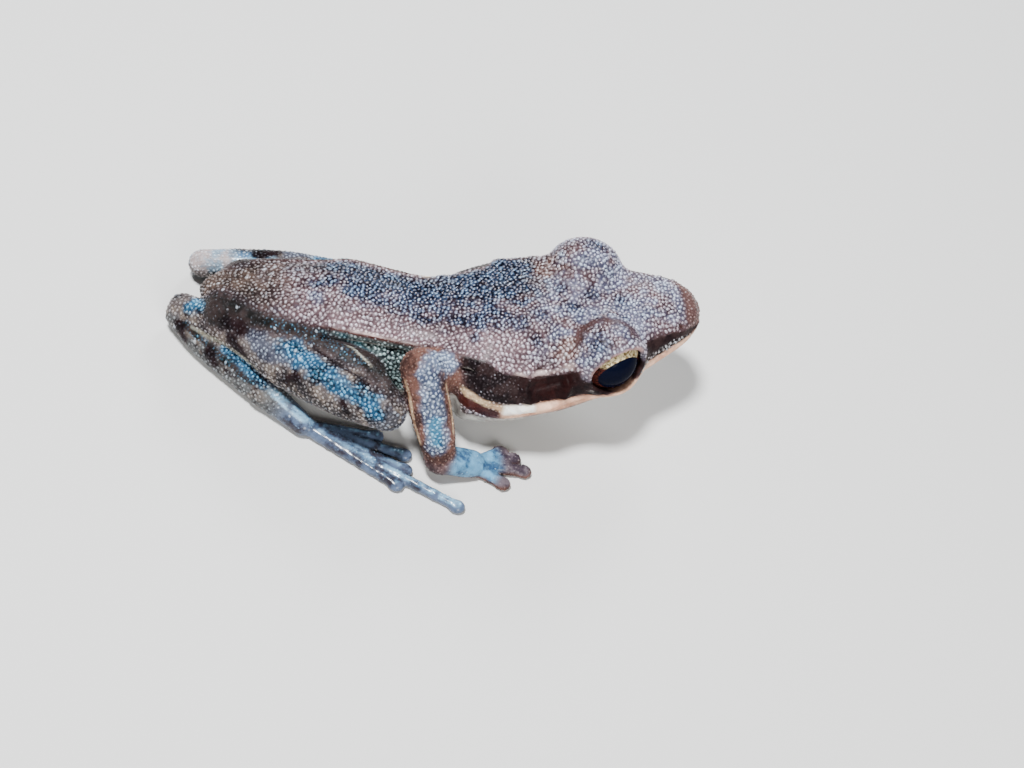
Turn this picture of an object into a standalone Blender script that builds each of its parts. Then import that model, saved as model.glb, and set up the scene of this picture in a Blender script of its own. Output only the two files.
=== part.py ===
"""A golden-backed frog as a still, life-size model, crouched with its head turned to its left.

The whole animal is worked out as one field of distances, in millimetres, from named sizes.
Thin gaps part that field into nodes, and each node's surface is taken from its own part of it.
"""
import math

import bpy
import numpy as np

# Driving sizes, in millimetres
EYE_RADIUS = 2.4
EYE_SPREAD = 4.15
EYE_TURN = 76
EYE_LIFT = 17
OPENING = (2.55, 2.2)
LID_RADIUS = 3.05
TOE_RADIUS = 0.46
FINGER_RADIUS = 0.48
DISC_RADIUS = 0.6
WEB_RADIUS = 0.27
GAP = 0.32
EYE_GAP = 0.27

# Making sizes, in millimetres
COARSE = 0.25
FINE = 0.17
FAR = 6.0
MARGIN = 1.0
CENTRE = (18.47, -1.70, 0.0)
MILLIMETRE = 0.001

# Head frame: the point midway between the eyes, and the way that the snout points
HEAD_PLACE = (30.9, 1.75, 8.8)
HEAD_YAW = 19.5
HEAD_PITCH = 7.0

# Trunk stations: place along the body, half width, top, widest height, underside
TRUNK = (
    (-0.1, 0.3, 4.0, 3.6, 3.2),
    (0.3, 0.9, 4.5, 3.6, 2.7),
    (1.2, 1.6, 5.0, 3.7, 2.4),
    (3.0, 2.6, 5.8, 3.8, 2.0),
    (6.0, 3.3, 6.9, 3.9, 1.9),
    (9.0, 3.9, 7.8, 3.9, 1.7),
    (11.2, 4.4, 8.4, 3.9, 1.6),
    (13.0, 4.5, 8.3, 3.8, 1.4),
    (16.0, 4.6, 8.15, 3.8, 1.2),
    (18.5, 4.8, 8.4, 4.0, 1.1),
    (21.0, 5.5, 8.9, 4.2, 1.0),
    (23.5, 5.9, 9.5, 4.5, 1.1),
    (25.5, 5.4, 9.5, 4.9, 1.6),
    (27.3, 4.4, 8.9, 5.3, 2.6),
)
TRUNK_POWER = 2.6

# Head stations in the head frame: forward of the eyes, half width, top, lip height, underside
HEAD = (
    (-12.0, 3.0, -1.0, -2.6, -4.4),
    (-11.0, 5.4, 0.0, -2.5, -5.3),
    (-9.0, 6.6, 0.8, -2.4, -5.6),
    (-7.0, 6.95, 1.2, -2.3, -5.5),
    (-4.5, 6.9, 1.5, -2.2, -5.1),
    (-2.5, 6.6, 1.6, -2.1, -4.8),
    (-0.5, 6.15, 1.6, -2.0, -4.4),
    (1.0, 5.6, 1.55, -1.9, -4.0),
    (2.8, 4.8, 1.45, -1.8, -3.6),
    (4.5, 4.05, 1.3, -1.65, -3.1),
    (6.0, 3.35, 1.1, -1.5, -2.7),
    (7.0, 2.8, 0.9, -1.3, -2.35),
    (7.9, 2.0, 0.55, -1.0, -1.9),
    (8.35, 1.3, 0.2, -0.8, -1.5),
    (8.6, 0.5, -0.25, -0.6, -0.95),
)
HEAD_POWER = 2.7


def turn(heading, pitch):
    """Unit vector for a heading and an upward pitch in degrees."""
    across, up = math.radians(heading), math.radians(pitch)
    return np.array((math.cos(up) * math.cos(across), math.cos(up) * math.sin(across), math.sin(up)))


def smooth_curve(places, values, at):
    """Cubic curve through the values, with no overshoot between them."""
    places, values = np.array(places, float), np.array(values, float)
    slope = np.diff(values) / np.diff(places)
    tangent = np.zeros(len(values))
    product = slope[:-1] * slope[1:]
    mean = 2 * product / np.where(np.abs(slope[:-1] + slope[1:]) < 1e-9, 1, slope[:-1] + slope[1:])
    tangent[1:-1] = np.where(product > 0, mean, 0)
    tangent[0], tangent[-1] = slope[0], slope[-1]
    at = np.clip(at, places[0], places[-1])
    index = np.clip(np.searchsorted(places, at) - 1, 0, len(places) - 2)
    width = places[index + 1] - places[index]
    t = (at - places[index]) / width
    start = (1 + 2 * t) * (1 - t) ** 2 * values[index] + t * (1 - t) ** 2 * width * tangent[index]
    end = t ** 2 * (3 - 2 * t) * values[index + 1] + t ** 2 * (t - 1) * width * tangent[index + 1]
    return start + end


def path(points, count):
    """Points on a smooth curve through the given ones, by chord length."""
    points = np.array(points, float)
    along = np.concatenate(([0], np.cumsum(np.linalg.norm(np.diff(points[:, :3], axis=0), axis=1))))
    at = np.linspace(0, along[-1], count)
    return np.stack([smooth_curve(along, points[:, c], at) for c in range(points.shape[1])], axis=1)


class Space:
    """The grid that every field is worked out on."""

    def __init__(self, low, high, step):
        self.step = step
        self.axes = [np.arange(low[i], high[i] + step, step) for i in range(3)]
        self.low = np.array([axis[0] for axis in self.axes])
        self.shape = tuple(len(axis) for axis in self.axes)

    def window(self, low, high):
        """Slices and coordinates of the grid points inside a box."""
        cuts = []
        for i in range(3):
            first = np.searchsorted(self.axes[i], low[i])
            last = np.searchsorted(self.axes[i], high[i])
            cuts.append(slice(first, max(last, first)))
        x = self.axes[0][cuts[0]][:, None, None]
        y = self.axes[1][cuts[1]][None, :, None]
        z = self.axes[2][cuts[2]][None, None, :]
        return tuple(cuts), x, y, z

    def empty(self):
        return np.full(self.shape, FAR)


def blend(first, second, reach):
    """Smooth union of two fields."""
    if reach <= 0:
        return np.minimum(first, second)
    overlap = np.maximum(reach - np.abs(first - second), 0) / reach
    return np.minimum(first, second) - overlap ** 2 * reach / 4


def add_tube(space, field, points, flat=1.0, reach=0.0, pad=1.6):
    """Union of a tapered tube through points given as x, y, z, radius."""
    points = np.array(points, float)
    for start, end in zip(points[:-1], points[1:]):
        big = max(start[3], end[3]) + pad
        low = np.minimum(start[:3], end[:3]) - big
        high = np.maximum(start[:3], end[:3]) + big
        cuts, x, y, z = space.window(low, high)
        dx, dy, dz = end[:3] - start[:3]
        length = dx * dx + dy * dy + dz * dz + 1e-9
        t = np.clip(((x - start[0]) * dx + (y - start[1]) * dy + (z - start[2]) * dz) / length, 0, 1)
        rise = (z - start[2] - t * dz) * flat
        gone = np.sqrt((x - start[0] - t * dx) ** 2 + (y - start[1] - t * dy) ** 2 + rise ** 2)
        gone = gone - start[3] - t * (end[3] - start[3])
        field[cuts] = blend(field[cuts], gone, reach)
    return field


def add_ball(space, field, centre, radii, reach=0.0, pad=1.6):
    """Union of an ellipsoid."""
    centre, radii = np.array(centre, float), np.array(radii, float)
    cuts, x, y, z = space.window(centre - radii - pad, centre + radii + pad)
    a, b, c = (x - centre[0]) / radii[0], (y - centre[1]) / radii[1], (z - centre[2]) / radii[2]
    norm = np.sqrt(a * a + b * b + c * c) + 1e-6
    slope = np.sqrt((a / radii[0]) ** 2 + (b / radii[1]) ** 2 + (c / radii[2]) ** 2) + 1e-6
    field[cuts] = blend(field[cuts], norm * (norm - 1) / slope, reach)
    return field


def near_path(space, points, reach):
    """Distance from a path, worked out only near it."""
    field = space.empty()
    rows = [(p[0], p[1], p[2], 0.0) for p in points]
    return add_tube(space, field, rows, pad=reach)


def even(space, field, least):
    """The field over its own slope, which makes it nearly a distance."""
    slope = np.sqrt(sum(g * g for g in np.gradient(field, space.step)))
    return field / np.maximum(slope, least)


def loft(space, stations, power, along, across, up):
    """Field of a body whose sections are rounded boxes, from its stations."""
    rows = np.array(stations, float)
    half, top, middle, low = (smooth_curve(rows[:, 0], rows[:, c], along) for c in (1, 2, 3, 4))
    outside = np.maximum(rows[0, 0] - along, 0) + np.maximum(along - rows[-1, 0], 0)
    height = np.where(up > middle, top - middle, middle - low)
    norm = (np.abs(across) / half) ** power + (np.abs(up - middle) / height) ** power
    norm = norm ** (1 / power)
    scale = np.minimum(half, (top - low) / 2)
    gone = even(space, (norm - 1) * scale, 0.45)
    gone = np.where(outside > 0, np.hypot(np.maximum(gone, 0), outside), gone)
    return np.clip(gone, -FAR, FAR)


def head_axes():
    forward = turn(HEAD_YAW, HEAD_PITCH)
    left = turn(HEAD_YAW + 90, 0)
    return forward, left, np.cross(forward, left)


def head_point(forward, left, up):
    """World place of a point given in the head frame."""
    axes = head_axes()
    return np.array(HEAD_PLACE) + forward * axes[0] + left * axes[1] + up * axes[2]


def head_coordinates(space):
    x, y, z = space.axes[0][:, None, None], space.axes[1][None, :, None], space.axes[2][None, None, :]
    x, y, z = x - HEAD_PLACE[0], y - HEAD_PLACE[1], z - HEAD_PLACE[2]
    return [x * axis[0] + y * axis[1] + z * axis[2] for axis in head_axes()]


def trunk_line(x):
    """Sideways place of the middle of the trunk."""
    return smooth_curve((0, 10, 19, 23, 27, 31), (-1.0, -1.25, -1.2, -0.95, 0.3, 1.8), x)


def mirror_rows(side):
    return -1 if side == "right" else 1


# Limb parts from joint to joint, as points on their middle lines with the radius there
LIMBS = {
    "thigh_right": ((2.7, -3.0, 3.5, 2.1), (9.2, -4.7, 4.5, 2.05), (12.8, -6.1, 5.0, 1.85),
                    (16.4, -9.2, 5.2, 1.45)),
    "shank_right": ((16.6, -9.6, 5.0, 1.5), (12.7, -8.2, 4.6, 2.1), (9.0, -6.6, 4.0, 2.15),
                    (4.1, -4.4, 3.3, 1.55), (-1.2, -2.1, 1.95, 1.15)),
    "tarsus_right": ((-1.3, -2.5, 1.5, 1.15), (0.8, -4.2, 1.3, 1.2), (6.9, -7.8, 1.2, 1.2)),
    "thigh_left": ((3.0, 0.6, 3.7, 1.8), (9.0, 2.1, 4.1, 1.75), (12.6, 2.9, 3.8, 1.6),
                   (16.4, 3.9, 3.1, 1.3)),
    "shank_left": ((16.6, 4.2, 2.9, 1.3), (11.5, 4.1, 2.8, 1.45), (6.3, 4.1, 2.4, 1.45),
                   (2.5, 3.8, 2.0, 1.25), (-0.9, 3.0, 1.8, 1.1)),
    "tarsus_left": ((-1.0, 3.3, 1.4, 1.1), (0.9, 4.3, 1.1, 1.05), (7.0, 5.6, 0.9, 1.0)),
    "upper_arm_right": ((22.2, -3.9, 4.3, 1.6), (20.3, -5.6, 6.4, 1.45), (18.5, -6.9, 7.75, 1.6)),
    "forearm_right": ((18.4, -7.0, 7.8, 1.65), (19.6, -8.4, 5.6, 1.65), (20.8, -9.7, 3.4, 1.45),
                      (21.5, -10.5, 1.7, 1.2)),
    "upper_arm_left": ((21.8, 2.2, 4.5, 1.6), (21.0, 3.6, 4.1, 1.45), (20.5, 4.9, 3.6, 1.35)),
    "forearm_left": ((20.5, 5.0, 3.5, 1.35), (22.8, 6.2, 2.8, 1.4), (25.4, 7.5, 2.0, 1.2),
                     (27.0, 8.2, 1.5, 1.1)),
}

# Toes and fingers, inner to outer: tips on the floor
TOE_TIPS = {
    "right": ((16.2, -8.9), (18.7, -10.0), (19.0, -11.4), (23.6, -13.6), (18.6, -12.9)),
    "left": ((13.2, 5.2), (16.2, 5.6), (19.2, 6.0), (23.6, 7.0), (19.0, 7.3)),
}
FINGER_TIPS = {
    "right": ((26.2, -7.6), (27.3, -8.0), (28.3, -8.9), (26.8, -10.5)),
    "left": ((29.0, 6.6), (31.0, 7.4), (32.6, 8.6), (30.2, 10.2)),
}
PALM = {"right": (24.0, -9.6), "left": (28.6, 8.4)}
SOLE = {"right": (10.4, -9.6), "left": (10.6, 6.2)}


def digit(root, tip, radius):
    """Middle line of one toe or finger, from its root to the pad at its tip."""
    middle = (root + tip) / 2
    rows = [(*root, 0.55, radius * 1.15), (*middle, 0.44, radius)]
    rows.append((*(tip * 0.965 + root * 0.035), 0.4, radius * 0.9))
    return path(rows, 9)


def add_digits(space, field, root, tips, radius, webbing):
    """Toes or fingers from the end of a sole or palm, with the web between them."""
    root = np.array(root, float)
    rows = []
    for tip in tips:
        tip = np.array(tip, float)
        bones = digit(root + (tip - root) * 0.08, tip, radius)
        add_tube(space, field, bones, reach=0.15)
        add_ball(space, field, (*tip, 0.36), (DISC_RADIUS * 1.15, DISC_RADIUS, 0.44), reach=0.15)
        rows.append(bones)
    for first, second in zip(rows[:-1], rows[1:]):
        for index in range(int(len(first) * webbing)):
            ends = [(*first[index][:3], WEB_RADIUS), (*second[index][:3], WEB_RADIUS)]
            add_tube(space, field, ends, reach=0.1)
    return field


def foot_field(space, side):
    field = space.empty()
    heel = LIMBS["tarsus_" + side][-1]
    add_tube(space, field, path([heel, (*SOLE[side], 0.7, 0.95)], 5), flat=1.15)
    return add_digits(space, field, SOLE[side], TOE_TIPS[side], TOE_RADIUS, 0.55)


def hand_field(space, side):
    field = space.empty()
    wrist = LIMBS["forearm_" + side][-1]
    add_tube(space, field, path([wrist, (*PALM[side], 0.75, 1.2)], 5), flat=1.3, reach=0.2)
    return add_digits(space, field, PALM[side], FINGER_TIPS[side], FINGER_RADIUS, 0.2)


def eye_place(side):
    return head_point(0.0, mirror_rows(side) * EYE_SPREAD, 0.0)


def eye_axes(side):
    """Axis out of the eye, and the level and upright ways across its opening."""
    sign = mirror_rows(side)
    out = turn(HEAD_YAW + sign * EYE_TURN, EYE_LIFT)
    level = turn(HEAD_YAW + sign * EYE_TURN - sign * 90, 0)
    level = level + 0.25 * np.cross(out, level) * -sign
    level = level / np.linalg.norm(level)
    return out, level, np.cross(out, level) * -sign


def head_field(space):
    along, across, up = head_coordinates(space)
    field = loft(space, HEAD, HEAD_POWER, along, across, up)
    for side in ("right", "left"):
        add_ball(space, field, eye_place(side), (LID_RADIUS,) * 3, reach=0.9)
    return field


def trunk_field(space):
    x, y, z = space.axes[0][:, None, None], space.axes[1][None, :, None], space.axes[2][None, None, :]
    across = y - trunk_line(x)
    return loft(space, TRUNK, TRUNK_POWER, x, across + 0 * z, z + 0 * across)


# Dorsolateral folds: place along the trunk and how far from its middle, then the same on the head
TRUNK_FOLD = ((3.7, 2.3), (7.3, 3.2), (11.6, 3.55), (16.3, 3.4), (19.5, 3.7), (22.4, 4.4))
HEAD_FOLD = ((-6.8, 5.6), (-4.8, 5.6), (-2.6, 5.2))


def section_top(stations, power, along, across):
    """Height of a lofted body's back at a place across it."""
    rows = np.array(stations, float)
    half, top, middle = (float(smooth_curve(rows[:, 0], rows[:, c], along)) for c in (1, 2, 3))
    return middle + (top - middle) * (1 - (across / half) ** power) ** (1 / power)


def fold_rows(side):
    sign = mirror_rows(side)
    rows = []
    for x, away in TRUNK_FOLD:
        rows.append((x, float(trunk_line(x)) + sign * away, section_top(TRUNK, TRUNK_POWER, x, away)))
    for forward, away in HEAD_FOLD:
        rows.append(tuple(head_point(forward, sign * away, section_top(HEAD, HEAD_POWER, forward, away))))
    return path(rows, 40)


def bump(distance, width):
    return np.exp(-(distance / width) ** 2)


def carve(space, field):
    """Folds, lids, lips, mouth, ears and nostrils, raised on or sunk in the skin."""
    along, across, up = head_coordinates(space)
    lip = smooth_curve([row[0] for row in HEAD], [row[3] for row in HEAD], along)
    front = np.clip((along + 7.6) / 0.8, 0, 1)
    field += 0.42 * bump(up - lip + 0.25, 0.22) * front
    field -= 0.16 * bump(up - lip - 0.25, 0.3) * front
    for side in ("right", "left"):
        sign = mirror_rows(side)
        field -= 0.45 * bump(near_path(space, fold_rows(side), 1.4), 0.45)
        gland = path([head_point(-5.2, sign * 6.9, -2.1), head_point(-8.6, sign * 6.9, -2.5)], 6)
        field -= 0.3 * bump(near_path(space, gland, 1.5), 0.6)
        ring = np.sqrt((along + 5.2) ** 2 + (up + 0.35) ** 2)
        cheek = np.clip(sign * across - 4.5, 0, 1)
        field -= (0.2 * bump(ring - 1.7, 0.28) - 0.12 * bump(ring, 1.2)) * cheek
        nostril = head_point(6.5, sign * 2.35, 0.45)
        near = near_path(space, [nostril, nostril + 0.01], 1.6)
        field -= 0.2 * bump(near, 0.6)
        field += 0.75 * bump(near, 0.26)
    return field


def open_eye(space, field, side):
    """Cut the socket and the opening between the lids, with a raised rim."""
    place = eye_place(side)
    out, level, upright = eye_axes(side)
    cuts, x, y, z = space.window(place - 4.5, place + 4.5)
    x, y, z = x - place[0], y - place[1], z - place[2]
    a = x * out[0] + y * out[1] + z * out[2]
    b = x * level[0] + y * level[1] + z * level[2]
    c = x * upright[0] + y * upright[1] + z * upright[2]
    reach = np.sqrt(a * a + b * b + c * c)
    ball = reach - EYE_RADIUS - EYE_GAP
    norm = np.sqrt((b / OPENING[0]) ** 2 + (c / OPENING[1]) ** 2)
    rim = bump((norm - 1.1) * 2.0, 0.3) * (a > 0) * bump(reach - LID_RADIUS, 0.6)
    part = field[cuts] - 0.2 * rim
    window = np.maximum((norm - 1) * 1.9, -a)
    part = np.maximum(part, -ball)
    field[cuts] = np.maximum(part, -np.maximum(window, -FAR))
    return field


def settle(field):
    """Fill the corners where two parts of the surface would meet at an edge or a point only."""
    fill = -0.05 * COARSE
    first, last, whole = slice(0, -1), slice(1, None), slice(None)
    for _ in range(12):
        changed = 0
        for u, v in ((0, 1), (0, 2), (1, 2)):
            views = []
            for du, dv in ((first, first), (last, first), (first, last), (last, last)):
                cut = [whole] * 3
                cut[u], cut[v] = du, dv
                views.append(field[tuple(cut)])
            a, b, c, d = views
            for p, q, r, t in ((a, d, b, c), (b, c, a, d)):
                bad = (p < 0) & (q < 0) & (r >= 0) & (t >= 0)
                changed += int(bad.sum())
                r[bad] = fill
        corner = {}
        for i in (0, 1):
            for j in (0, 1):
                for k in (0, 1):
                    cut = tuple(last if on else first for on in (i, j, k))
                    corner[i, j, k] = field[cut]
        count = sum((value < 0).astype(int) for value in corner.values())
        for i, j in ((0, 0), (0, 1), (1, 0), (1, 1)):
            low, high = corner[0, i, j], corner[1, 1 - i, 1 - j]
            bad = (count == 2) & (low < 0) & (high < 0)
            bad |= (count == 6) & (low >= 0) & (high >= 0)
            changed += int(bad.sum())
            low[bad] = fill
            corner[1, i, j][bad] = fill
        if not changed:
            break
    return field


def surface(space, field):
    """Corners and four-sided faces of the level surface of a field."""
    for axis in range(3):
        np.moveaxis(field, axis, 0)[[0, -1]] = FAR
    field = settle(field)
    inside = field < 0
    size = np.array(field.shape)
    total = np.zeros((field.size, 3))
    count = np.zeros(field.size)
    faces = []
    weight = np.array((size[1] * size[2], size[2], 1))
    for axis in range(3):
        first = [slice(None)] * 3
        second = [slice(None)] * 3
        first[axis], second[axis] = slice(0, -1), slice(1, None)
        crossing = inside[tuple(first)] != inside[tuple(second)]
        cell = np.argwhere(crossing)
        a, b = field[tuple(first)][crossing], field[tuple(second)][crossing]
        place = cell.astype(float)
        place[:, axis] += a / (a - b)
        u, v = (axis + 1) % 3, (axis + 2) % 3
        ring = []
        for du, dv in ((0, 0), (-1, 0), (-1, -1), (0, -1)):
            near = cell.copy()
            near[:, u] += du
            near[:, v] += dv
            code = near @ weight
            ring.append(code)
            for c in range(3):
                total[:, c] += np.bincount(code, place[:, c], field.size)
            count += np.bincount(code, minlength=field.size)
        quad = np.stack(ring, axis=1)
        outward = a < 0
        quad[~outward] = quad[~outward][:, ::-1]
        faces.append(quad)
    faces = np.concatenate(faces)
    used = np.flatnonzero(count)
    number = np.full(field.size, -1)
    number[used] = np.arange(len(used))
    corners = total[used] / count[used][:, None] * space.step + space.low
    return corners, number[faces]


def material(name, colour, roughness):
    mat = bpy.data.materials.new(name)
    mat.use_nodes = True
    shader = mat.node_tree.nodes["Principled BSDF"]
    shader.inputs["Base Color"].default_value = (*colour, 1)
    shader.inputs["Roughness"].default_value = roughness
    return mat


def keep_largest(mesh):
    """Drop every loose scrap but the largest closed surface."""
    count = len(mesh.vertices)
    edges = np.zeros(len(mesh.edges) * 2, int)
    mesh.edges.foreach_get("vertices", edges)
    edges = edges.reshape(-1, 2)
    label = np.arange(count)
    while True:
        low = np.minimum(label[edges[:, 0]], label[edges[:, 1]])
        new = label.copy()
        np.minimum.at(new, edges[:, 0], low)
        np.minimum.at(new, edges[:, 1], low)
        new = new[new]
        if np.array_equal(new, label):
            break
        label = new
    names, sizes = np.unique(label, return_counts=True)
    return label == names[np.argmax(sizes)]


def make_node(name, corners, faces, budget, colour):
    """A closed mesh object with about the given number of triangles."""
    corners = (corners - np.array(CENTRE)) * MILLIMETRE
    corners[:, 2] = np.maximum(corners[:, 2], 0)
    mesh = bpy.data.meshes.new(name)
    mesh.from_pydata(corners.tolist(), [], faces.tolist())
    keep = keep_largest(mesh)
    if not keep.all():
        number = np.cumsum(keep) - 1
        faces = number[faces[keep[faces[:, 0]]]]
        mesh.clear_geometry()
        mesh.from_pydata(corners[keep].tolist(), [], faces.tolist())
    thing = bpy.data.objects.new(name, mesh)
    bpy.context.scene.collection.objects.link(thing)
    slim = thing.modifiers.new("slim", "DECIMATE")
    slim.ratio = min(1.0, budget / (2 * len(faces)))
    slim.use_collapse_triangulate = True
    depsgraph = bpy.context.evaluated_depsgraph_get()
    result = bpy.data.meshes.new_from_object(thing.evaluated_get(depsgraph))
    thing.modifiers.clear()
    thing.data = result
    result.name = name
    bpy.data.meshes.remove(mesh)
    result.materials.clear()
    result.materials.append(material(name, colour, 0.45))


def plane(space, point, normal):
    x, y, z = space.axes[0][:, None, None], space.axes[1][None, :, None], space.axes[2][None, None, :]
    return (x - point[0]) * normal[0] + (y - point[1]) * normal[1] + (z - point[2]) * normal[2]


def unit(vector):
    vector = np.array(vector, float)
    return vector / np.linalg.norm(vector)


def bisector(first, second):
    """Point and normal of the cut between two limb parts that share a joint."""
    first, second = np.array(first, float)[:, :3], np.array(second, float)[:, :3]
    joint = (first[-1] + second[0]) / 2
    back, on = unit(first[-2] - first[-1]), unit(second[1] - second[0])
    return joint, unit(on - back)


NECK = ((23.9, -0.5, 6.0), turn(10, 0))
REACH = {"thigh": 0.9, "upper_arm": 0.8, "shank": 0.2, "tarsus": 0.2, "forearm": 0.3, "hand": 0.3,
         "foot": 0.3}

# Triangles of each node's surface, then its colour
BUDGET = {"head": 3900, "torso": 2900, "thigh": 640, "shank": 640, "tarsus": 420, "foot": 1500,
          "upper_arm": 400, "forearm": 460, "hand": 1000}
COLOUR = {"head": (0.27, 0.20, 0.19), "torso": (0.25, 0.20, 0.19), "thigh": (0.10, 0.085, 0.08),
          "shank": (0.20, 0.17, 0.15), "tarsus": (0.18, 0.14, 0.11), "foot": (0.20, 0.16, 0.14),
          "upper_arm": (0.24, 0.15, 0.11), "forearm": (0.24, 0.20, 0.21), "hand": (0.22, 0.25, 0.30),
          "eye": (0.02, 0.02, 0.03)}


def limb_points(name):
    part, side = name.rsplit("_", 1)
    if part == "foot":
        return [LIMBS["tarsus_" + side][-1], (*SOLE[side], 0.7, 0.95)]
    if part == "hand":
        return [LIMBS["forearm_" + side][-1], (*PALM[side], 0.75, 1.2)]
    return LIMBS[name]


def all_fields(space):
    """The distance field of each fleshy part."""
    fields = {"torso": trunk_field(space), "head": head_field(space)}
    for name, rows in LIMBS.items():
        fields[name] = add_tube(space, space.empty(), path(rows, 14))
    for side in ("right", "left"):
        fields["foot_" + side] = foot_field(space, side)
        fields["hand_" + side] = hand_field(space, side)
    return fields


def whole_skin(space, fields):
    """One skin over all the parts."""
    skin = blend(fields["torso"], fields["head"], 2.2)
    for name, field in fields.items():
        if name not in ("torso", "head"):
            skin = blend(skin, field, REACH[name.rsplit("_", 1)[0]])
    skin = carve(space, skin)
    return np.maximum(skin, -plane(space, (0, 0, 0), (0, 0, 1)))


CHAINS = (("thigh", "shank"), ("shank", "tarsus"), ("tarsus", "foot"), ("upper_arm", "forearm"),
          ("forearm", "hand"))


def chain_cuts(space, fields):
    """Cuts between parts that share a joint: flat at the joint, midway between them elsewhere."""
    cuts = {("torso", "head"): plane(space, *NECK)}
    for side in ("right", "left"):
        for first, second in CHAINS:
            pair = (first + "_" + side, second + "_" + side)
            joint, normal = bisector(limb_points(pair[0]), limb_points(pair[1]))
            across = even(space, fields[pair[0]] - fields[pair[1]], 0.5)
            away = np.clip(near_path(space, [joint, joint + 0.01], 4.5) / 2 - 1.0, 0, 1)
            cuts[pair] = (1 - away) * plane(space, joint, normal) + away * across
    return cuts


def node_field(space, name, skin, fields, cuts):
    """The part of the skin that belongs to one node, clear of its neighbours by the gap."""
    result = skin.copy()
    for other, field in fields.items():
        if other == name:
            continue
        if (name, other) in cuts:
            result = np.maximum(result, cuts[(name, other)] + GAP / 2)
        elif (other, name) in cuts:
            result = np.maximum(result, GAP / 2 - cuts[(other, name)])
        else:
            result = np.maximum(result, even(space, fields[name] - field, 0.5) + GAP / 2)
    return result


def make_eye(side):
    name = "eye_" + side
    rings, sides = 10, 16
    out, level, upright = eye_axes(side)
    centre = eye_place(side)
    corners, faces = [centre + out * EYE_RADIUS], []
    for ring in range(1, rings):
        angle = math.pi * ring / rings
        for index in range(sides):
            turned = 2 * math.pi * index / sides
            across = math.cos(turned) * level + math.sin(turned) * upright
            corners.append(centre + EYE_RADIUS * (math.cos(angle) * out + math.sin(angle) * across))
    corners.append(centre - out * EYE_RADIUS)
    last = len(corners) - 1
    for index in range(sides):
        following = (index + 1) % sides
        faces.append((0, 1 + index, 1 + following))
        faces.append((last, last - sides + following, last - sides + index))
        for ring in range(rings - 2):
            low, high = 1 + ring * sides, 1 + (ring + 1) * sides
            faces.append((low + index, high + index, high + following, low + following))
    mesh = bpy.data.meshes.new(name)
    mesh.from_pydata([tuple((c - np.array(CENTRE)) * MILLIMETRE) for c in corners], [], faces)
    if np.dot(np.cross(level, upright), out) < 0:
        mesh.flip_normals()
    mesh.materials.append(material(name, COLOUR["eye"], 0.1))
    thing = bpy.data.objects.new(name, mesh)
    bpy.context.scene.collection.objects.link(thing)


def node_names():
    names = ["torso", "head"] + list(LIMBS)
    return names + [part + "_" + side for part in ("foot", "hand") for side in ("right", "left")]


def node_space(name):
    """Grid round one node, finer on the head, hands and feet."""
    part, _, side = name.rpartition("_")
    if name in LIMBS:
        rows = LIMBS[name]
    elif part == "foot":
        rows = limb_points(name) + [(*tip, 0.6, 0.6) for tip in TOE_TIPS[side]]
    elif part == "hand":
        rows = limb_points(name) + [(*tip, 0.6, 0.6) for tip in FINGER_TIPS[side]]
    else:
        rows = []
        for x, half, top, _, low in (HEAD if name == "head" else TRUNK):
            for across, up in ((-half, top), (-half, low), (half, top), (half, low)):
                place = head_point(x, across, up) if name == "head" else (x, across, up)
                rows.append((*place, 1.4))
    rows = np.array(rows, float)
    low = (rows[:, :3] - rows[:, 3:]).min(axis=0) - MARGIN
    high = (rows[:, :3] + rows[:, 3:]).max(axis=0) + MARGIN
    low[2] = max(low[2], -3 * FINE)
    return Space(low, high, FINE if part in ("head", "foot", "hand") else COARSE)


def main():
    for thing in list(bpy.data.objects):
        bpy.data.objects.remove(thing, do_unlink=True)
    for name in node_names():
        space = node_space(name)
        fields = all_fields(space)
        skin = whole_skin(space, fields)
        field = node_field(space, name, skin, fields, chain_cuts(space, fields))
        if name == "head":
            for side in ("right", "left"):
                field = open_eye(space, field, side)
        corners, faces = surface(space, field)
        kind = name if name in BUDGET else name.rpartition("_")[0]
        make_node(name, corners, faces, BUDGET[kind], COLOUR[kind])
    for side in ("right", "left"):
        make_eye(side)


main()
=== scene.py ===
"""The looks of a golden-backed frog, a still, life-size model crouched with its head turned.

One skin, worked out as a field of distances in millimetres, replaces the fleshy nodes.
Its regions and markings are attributes that the materials and the skin's grains both read.
"""
import itertools
import math

import bpy
import numpy as np
from mathutils import Matrix, Vector


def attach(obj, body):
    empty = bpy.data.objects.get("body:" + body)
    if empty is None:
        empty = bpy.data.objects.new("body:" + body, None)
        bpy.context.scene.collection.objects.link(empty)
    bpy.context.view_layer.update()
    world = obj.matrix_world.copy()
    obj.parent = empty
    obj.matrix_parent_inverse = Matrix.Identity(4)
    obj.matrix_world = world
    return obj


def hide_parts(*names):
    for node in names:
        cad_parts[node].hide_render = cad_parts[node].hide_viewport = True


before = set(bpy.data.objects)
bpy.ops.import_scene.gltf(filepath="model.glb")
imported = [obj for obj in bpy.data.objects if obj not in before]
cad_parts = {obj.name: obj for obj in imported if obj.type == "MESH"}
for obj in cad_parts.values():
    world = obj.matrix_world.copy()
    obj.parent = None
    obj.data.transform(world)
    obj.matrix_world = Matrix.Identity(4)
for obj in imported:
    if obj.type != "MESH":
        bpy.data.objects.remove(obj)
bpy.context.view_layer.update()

# Driving sizes, in millimetres and degrees
EYE_RADIUS = 2.5
EYE_SPREAD = 4.15
EYE_TURN = 76
EYE_LIFT = 17
OPENING = (2.25, 1.88)
OPENING_DROP = 0.14
LID_RADIUS = 3.1
TOE_RADIUS = 0.46
FINGER_RADIUS = 0.48
DISC_RADIUS = 0.6
WEB_RADIUS = 0.27
LID_GAP = 0.03

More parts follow.
